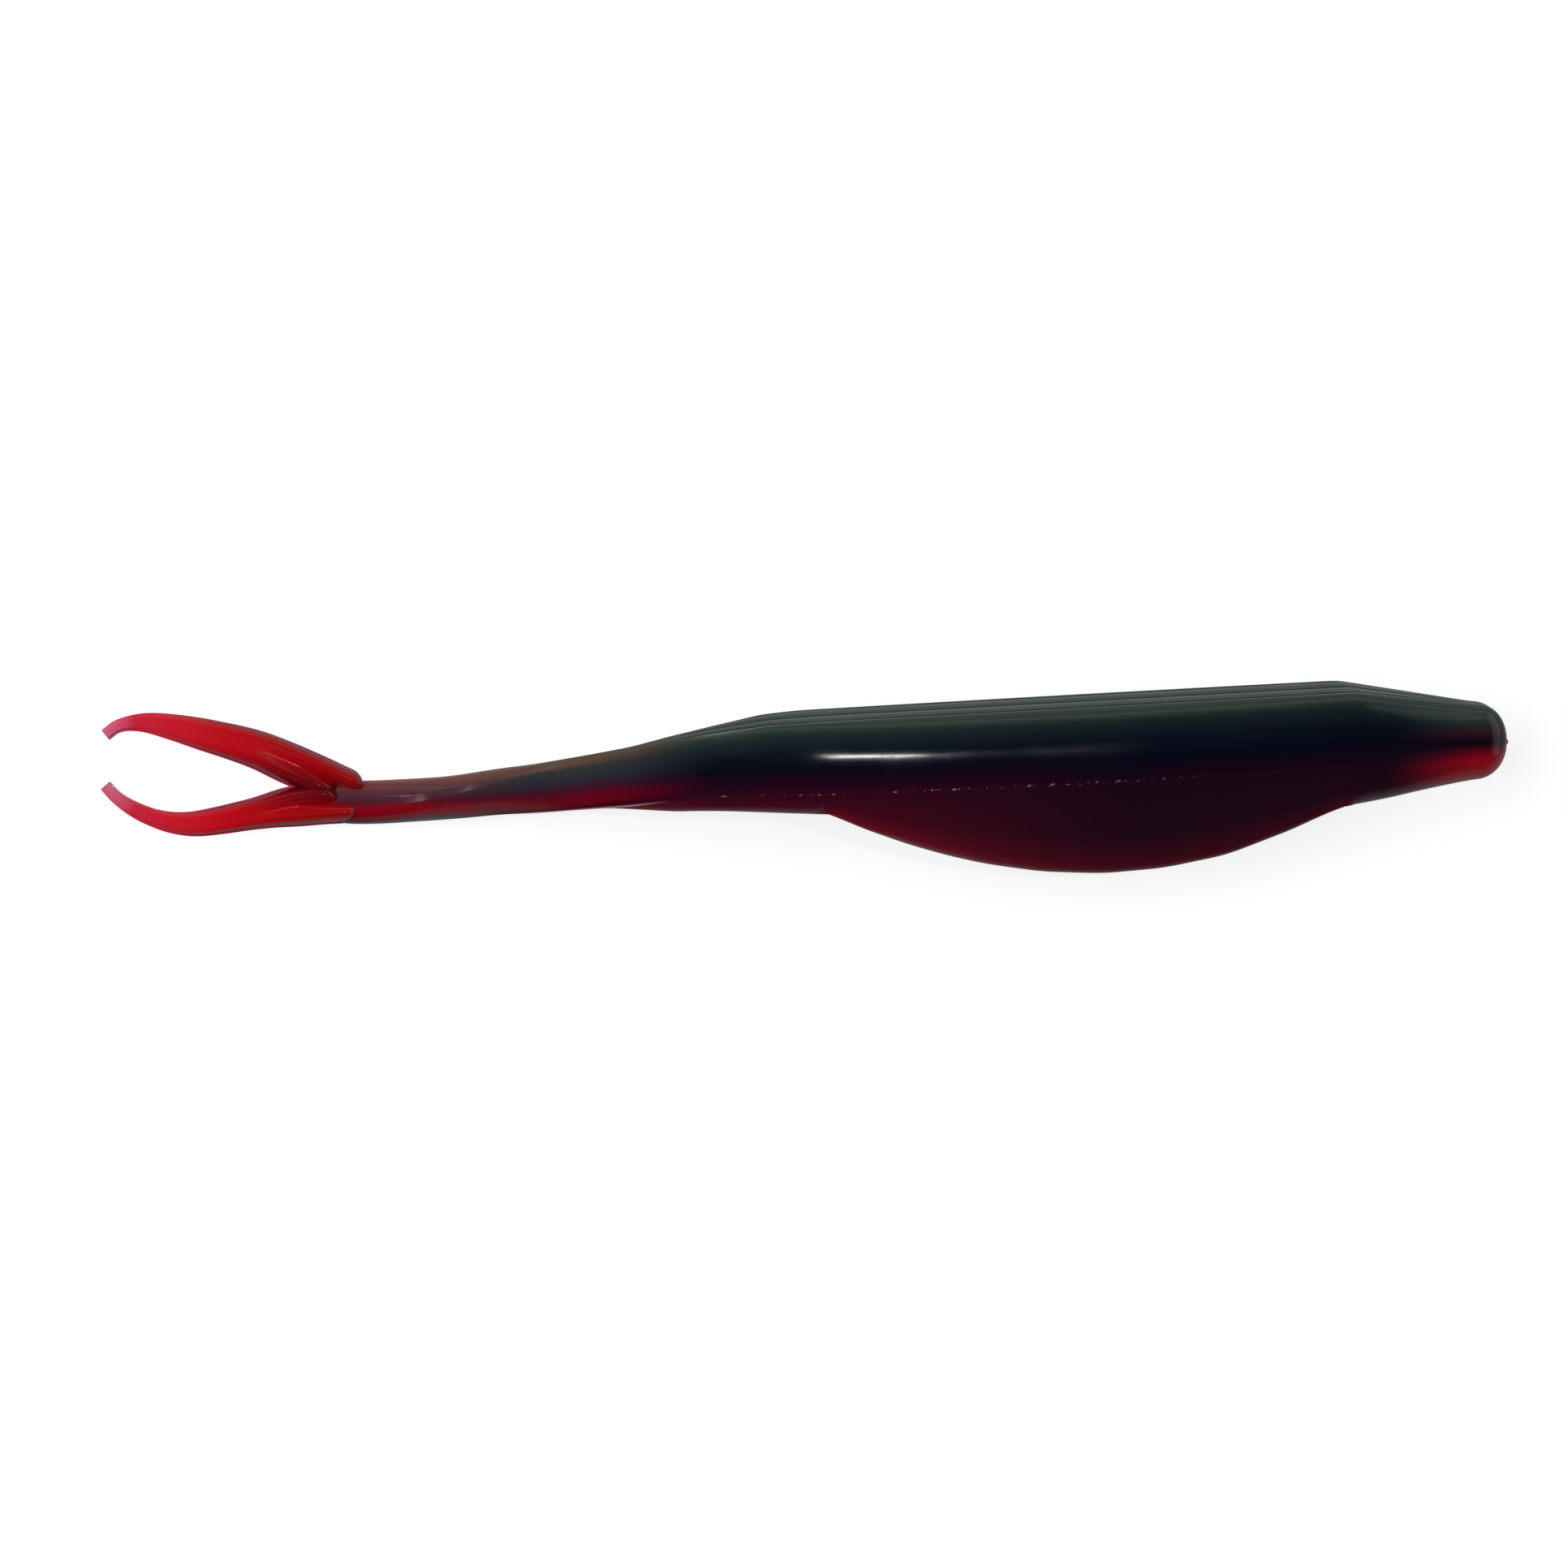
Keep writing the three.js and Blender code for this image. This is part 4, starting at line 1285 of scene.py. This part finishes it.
@dataclass(frozen=True)
class SoftSkin:
    """What both plastics share: the place sockets, the specks, and the relief and gloss of a moulded skin."""

    peel: float = 0.16
    bump_strength: float = 0.35
    bump_depth: float = 0.06
    refraction: float = 1.5
    shine: float = 0.36
    specks: bpy.types.NodeTree = field(default_factory=lambda: Specks().group())
    relief: bpy.types.NodeTree = field(default_factory=lambda: SkinRelief().group())

    def start(self, name: str) -> tuple[bpy.types.Material, Graph, Places]:
        """Start a plastic.

        Args:
            name: The material's name.

        Returns:
            The material, its graph and the place sockets.
        """
        material = bpy.data.materials.new(name)
        material.use_nodes = True
        graph = Graph(material.node_tree)
        parts = graph.node("ShaderNodeSeparateXYZ")
        attribute = graph.node("ShaderNodeAttribute", attribute_name=PLACE_ATTRIBUTE)
        graph.feed(parts.inputs[0], attribute.outputs["Vector"])
        # The pale share: painted light through the fork's thin parts, and on the body the stem's flash and the
        # painted reflection beside each groove.
        thin = graph.node("ShaderNodeAttribute", attribute_name=THIN_AND_REFLECTION_ATTRIBUTE).outputs["Fac"]
        spot = graph.node("ShaderNodeTexCoord").outputs["Object"]
        return material, graph, Places(spot, parts.outputs[0], parts.outputs[2], thin)

    def finish(self, graph: Graph, places: Places, colour: Socket, gloss: float) -> None:
        """Give the surface shader its colour, relief and gloss.

        Args:
            graph: The material's graph.
            places: The place sockets.
            colour: The colour.
            gloss: The roughness of the clean skin.
        """
        shader = graph.tree.nodes["Principled BSDF"]
        relief = graph.group(self.relief, Place=places.spot, Peel=self.peel, Gloss=gloss)
        bump = graph.node("ShaderNodeBump")
        bump.inputs["Strength"].default_value = self.bump_strength
        bump.inputs["Distance"].default_value = self.bump_depth * MM
        graph.feed(bump.inputs["Height"], relief.outputs["Height"])
        graph.feed(shader.inputs["Normal"], bump.outputs[0])
        graph.feed(shader.inputs["Roughness"], relief.outputs["Roughness"])
        graph.feed(shader.inputs["Base Color"], colour)
        shader.inputs["IOR"].default_value = self.refraction
        shader.inputs["Specular IOR Level"].default_value = self.shine


@dataclass(frozen=True)
class PourFinish:
    """The body's plastic: a dark back pour over a clear red belly pour, with a beaded parting line."""

    gloss: float = 0.13
    wobble_scale: float = 210.0
    wobble_run: Run = (66.0, 50.0)
    wobble_height: Run = (0.0, 0.16)
    speck_run: Run = (74.0, 50.0)
    speck_amount: Run = (0.12, 1.0)
    speck_strength: float = 0.3
    speck_shade: Shade = (176, 150, 160)
    # Pale lines of the body: the stem's flash, and on the trunk a painted reflection along the outer edge of each
    # groove.
    edge_run: Run = (52.0, 56.0)
    flash_and_reflection_strength: float = 0.85
    flash_shade: Shade = (236, 170, 190)
    groove_reflection_shade: Shade = (190, 204, 194)
    seam: Run = (0.022, 0.008)
    seam_front: Run = (104.0, 88.0)
    seam_rear: Run = (52.0, 56.0)
    bead_scale: float = 2600.0
    bead_size: Run = (0.58, 0.7)
    bead_strength: Run = (0.0, 0.6)
    bead_shade: Shade = (214, 150, 168)

    def build(self, skin: SoftSkin) -> bpy.types.Material:
        """Return the material.

        Args:
            skin: What both plastics share.

        Returns:
            The finished material.
        """
        material, graph, at = skin.start("two_pour_plastic")
        wobble = graph.math("SUBTRACT", graph.noise(at.spot, self.wobble_scale, 3.0), 0.5)
        wobble = graph.math("MULTIPLY", wobble, graph.step(at.station, *self.wobble_run, *self.wobble_height))
        tint = graph.group(PourTint().group(), Station=at.station, Level=graph.math("ADD", at.level, wobble))
        amount = graph.step(at.station, *self.speck_run, *self.speck_amount)
        specks = graph.group(skin.specks, Place=at.spot, Amount=amount).outputs[0]
        strength = graph.math("MULTIPLY", specks, self.speck_strength)
        colour = graph.blend(strength, tint.outputs[0], shade(*self.speck_shade))
        # Add the stem's pale flash and, on the trunk, a painted reflection beside each groove.
        body = graph.step(at.station, *self.edge_run)
        pale = graph.blend(body, shade(*self.flash_shade), shade(*self.groove_reflection_shade))
        colour = graph.blend(graph.math("MULTIPLY", at.thin, self.flash_and_reflection_strength), colour, pale)
        line = graph.step(graph.math("ABSOLUTE", at.level), *self.seam)
        beads = graph.step(graph.noise(at.spot, self.bead_scale, 1.0), *self.bead_size, *self.bead_strength)
        length = graph.math("MULTIPLY", graph.step(at.station, *self.seam_front),
                            graph.step(at.station, *self.seam_rear))
        mark = graph.math("MULTIPLY", line, graph.math("MULTIPLY", beads, length))
        skin.finish(graph, at, graph.blend(mark, colour, shade(*self.bead_shade)), self.gloss)
        return material


@dataclass(frozen=True)
class Tinge:
    """A colour that shows along part of a tine's length and across part of its width."""

    along: Run
    across: Run
    strength: float
    tint: Shade


@dataclass(frozen=True)
class ForkFinish:
    """The fork's clear red plastic, maroon on its inner ribs, pink where it is thin, which is painted light
    shining through, and darker along its edges as painted shade.
    """

    gloss: float = 0.16
    length: float = 25.0
    # Along the fork: pink towards the thin tip is painted light shining through the plastic, deeper red towards
    # the root.
    along: Stops = (
        (0.0, (255, 140, 172)), (0.01, (255, 92, 128)), (0.03, (252, 46, 78)), (0.12, (250, 36, 58)),
        (0.4, (236, 14, 32)), (0.7, (212, 4, 20)), (1.0, (172, 6, 16)))
    inner_rib: Tinge = Tinge((11.0, 19.0), (0.15, -0.55), 0.8, (112, 8, 20))
    crown: Tinge = Tinge((9.0, 20.0), (0.1, 0.5), 0.4, (200, 20, 22))
    # Darker along both edges of each tine: painted shade.
    rim: Tinge = Tinge((5.0, 12.0), (0.72, 0.98), 0.75, (120, 0, 20))
    # Pink on the thin ribbon tip and the thin underside edge: painted light shining through.
    see_through_strength: float = 0.5
    see_through_shade: Shade = (255, 84, 128)
    speck_amount: float = 0.12
    speck_shade: Shade = (230, 150, 150)

    def build(self, skin: SoftSkin) -> bpy.types.Material:
        """Return the material.

        Args:
            skin: What both plastics share.

        Returns:
            The finished material.
        """
        material, graph, at = skin.start("fork_plastic")
        place = graph.step(at.station, 0.0, self.length)
        colour = graph.ramp(place, [(stop, shade(*tint)) for stop, tint in self.along])
        both_sides = graph.math("ABSOLUTE", at.level)
        for tinge, across in ((self.inner_rib, at.level), (self.crown, at.level), (self.rim, both_sides)):
            width = graph.step(across, *tinge.across, 0.0, tinge.strength)
            share = graph.math("MULTIPLY", graph.step(at.station, *tinge.along), width)
            colour = graph.blend(share, colour, shade(*tinge.tint))
        # Painted light shining through the thin parts.
        thin = graph.math("MULTIPLY", at.thin, self.see_through_strength)
        colour = graph.blend(thin, colour, shade(*self.see_through_shade))
        specks = graph.group(skin.specks, Place=at.spot, Amount=self.speck_amount).outputs[0]
        skin.finish(graph, at, graph.blend(specks, colour, shade(*self.speck_shade)), self.gloss)
        return material


@dataclass
class Finishes:
    """The bait's two plastics."""

    skin: SoftSkin = field(default_factory=SoftSkin)
    pour: bpy.types.Material = field(init=False)
    fork: bpy.types.Material = field(init=False)

    def __post_init__(self) -> None:
        """Build the materials."""
        self.pour = PourFinish().build(self.skin)
        self.fork = ForkFinish().build(self.skin)


@dataclass(frozen=True)
class Lamp:
    """One soft rectangular light that faces the bait, with its place and size in metres."""

    name: str
    place: tuple[float, float, float]
    size: Run
    power: float

    def build(self) -> None:
        """Add the light to the scene."""
        data = bpy.data.lights.new(self.name, "AREA")
        data.shape = "RECTANGLE"
        data.size, data.size_y = self.size
        data.energy = self.power
        lamp = bpy.data.objects.new(self.name, data)
        lamp.location = self.place
        lamp.rotation_mode = "QUATERNION"
        lamp.rotation_quaternion = (-Vector(self.place)).to_track_quat("-Z", "Y")
        bpy.context.scene.collection.objects.link(lamp)


@dataclass
class Studio:
    """A pale table, soft light from the sides and above, and the camera over the bait."""

    tilt: float = 15.0
    distance: float = 450.0
    lens: float = 111.9
    aim: tuple[float, float, float] = (-4.6, -0.5, 4.0)
    lamps: tuple[Lamp, ...] = (
        Lamp("high_strip", (0.16, 0.07, 0.98), (0.02, 0.09), 0.75),
        Lamp("nose_end", (1.25, 0.25, 0.5), (1.8, 0.8), 2.4),
        Lamp("fork_end", (-1.0, 0.2, 1.0), (1.2, 0.8), 11.5),
    )
    table_size: float = 6.0
    table_drop: float = 0.05
    table_colour: Colour = (0.45, 0.45, 0.45, 1)
    table_glow: float = 0.8
    bounce: Colour = (0.08, 0.08, 0.08, 1)
    backdrop: Colour = (1.0, 1.0, 1.0, 1)
    behind: tuple[tuple[float, Colour], ...] = (
        (0.0, (0.8, 0.88, 0.84, 1)), (0.2, (0.42, 0.48, 0.46, 1)), (0.42, (0.14, 0.17, 0.17, 1)),
        (0.7, (0.05, 0.06, 0.07, 1)), (1.0, (0.02, 0.025, 0.03, 1)))
    before: tuple[tuple[float, Colour], ...] = (
        (0.0, (0.3, 0.3, 0.3, 1)), (0.1, (0.1, 0.1, 0.11, 1)), (0.3, (0.06, 0.06, 0.07, 1)),
        (1.0, (0.02, 0.025, 0.03, 1)))
    turn: Run = (-0.3, 0.5)

    def table(self) -> None:
        """Build the table, which is not part of the object and looks white without lighting the bait."""
        mesh = bmesh.new()
        bmesh.ops.create_grid(mesh, x_segments=2, y_segments=2, size=self.table_size / 2)
        bmesh.ops.translate(mesh, verts=mesh.verts, vec=(0, 0, -self.table_drop * MM))
        data = bpy.data.meshes.new("table")
        mesh.to_mesh(data)
        mesh.free()
        piece = bpy.data.objects.new("table", data)
        bpy.context.scene.collection.objects.link(piece)
        material = bpy.data.materials.new("pale_table")
        material.use_nodes = True
        graph = Graph(material.node_tree)
        shader = material.node_tree.nodes["Principled BSDF"]
        shader.inputs["Base Color"].default_value = self.table_colour
        shader.inputs["Roughness"].default_value = 1.0
        shader.inputs["Specular IOR Level"].default_value = 0.0
        seen = graph.node("ShaderNodeLightPath").outputs["Is Camera Ray"]
        graph.feed(shader.inputs["Emission Color"], graph.blend(seen, self.bounce, self.backdrop))
        shader.inputs["Emission Strength"].default_value = self.table_glow
        data.materials.append(material)

    def sky(self) -> None:
        """Make the surroundings, bright round the horizon behind the bait and dim overhead and before it."""
        world = bpy.data.worlds.new("studio_surroundings")
        world.use_nodes = True
        bpy.context.scene.world = world
        graph = Graph(world.node_tree)
        background = world.node_tree.nodes["Background"]
        parts = graph.node("ShaderNodeSeparateXYZ")
        graph.feed(parts.inputs[0], graph.node("ShaderNodeTexCoord").outputs["Generated"])
        before, behind = (graph.ramp(parts.outputs[2], stops) for stops in (self.before, self.behind))
        around = graph.blend(graph.step(parts.outputs[1], *self.turn), before, behind)
        seen = graph.node("ShaderNodeLightPath").outputs["Is Camera Ray"]
        graph.feed(background.inputs["Color"], graph.blend(seen, around, self.backdrop))
        background.inputs["Strength"].default_value = 1.0

    def camera(self) -> None:
        """Make the camera, tilted towards the fork."""
        data = bpy.data.cameras.new("camera")
        data.lens = self.lens
        data.sensor_width = 36
        camera = bpy.data.objects.new("camera", data)
        angle = math.radians(self.tilt)
        away = Vector((-math.sin(angle), 0, math.cos(angle)))
        right = Vector((math.cos(angle), 0, math.sin(angle)))
        turn = Matrix((right, Vector((0, 1, 0)), away)).transposed().to_4x4()
        camera.matrix_world = Matrix.Translation((Vector(self.aim) + away * self.distance) * MM) @ turn
        bpy.context.scene.collection.objects.link(camera)
        bpy.context.scene.camera = camera

    def build(self) -> None:
        """Build the table, the lights, the surroundings and the camera."""
        self.table()
        for lamp in self.lamps:
            lamp.build()
        self.sky()
        self.camera()
        bpy.context.scene.view_settings.view_transform = "Standard"


def main() -> None:
    """Build the bait's skin, dress it, and set up the studio."""
    logging.basicConfig(level=logging.INFO, format="%(name)s: %(message)s")
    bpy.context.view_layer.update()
    finishes = Finishes()
    left_route = (
        (-0.1, 5.9), (1.2, 6.85), (3.2, 7.2), (5.4, 6.95), (9.5, 6.0), (13.6, 4.85), (16.6, 3.6), (19.8, 2.2),
        (22, 1.2), (24.5, 0.4))
    right_route = (
        (-0.2, -1.9), (1.2, -0.4), (3.2, 0.85), (5.4, 1.65), (7.5, 1.92), (9.5, 1.75), (13.6, 1.0),
        (16.6, 0.42), (19.8, 0.1), (23.5, -0.05))
    pieces = Body().build(finishes)
    for name, sign in (("left", -1), ("right", 1)):
        pieces.append(KeelFlap(f"keel_flap_{name}_skin", f"keel_flap_{name}", sign).build(finishes))
    pieces += Tine("left", 1, left_route, inner_end=21.2, outer_end=23.5).build(finishes)
    pieces += Tine("right", -1, right_route, inner_end=21.3, outer_end=23.1, slimness=0.8).build(finishes)
    pieces.append(GateNub().build(finishes))
    Studio().build()
    LOG.info("%d pieces", len(pieces))


if __name__ == "__main__":
    main()
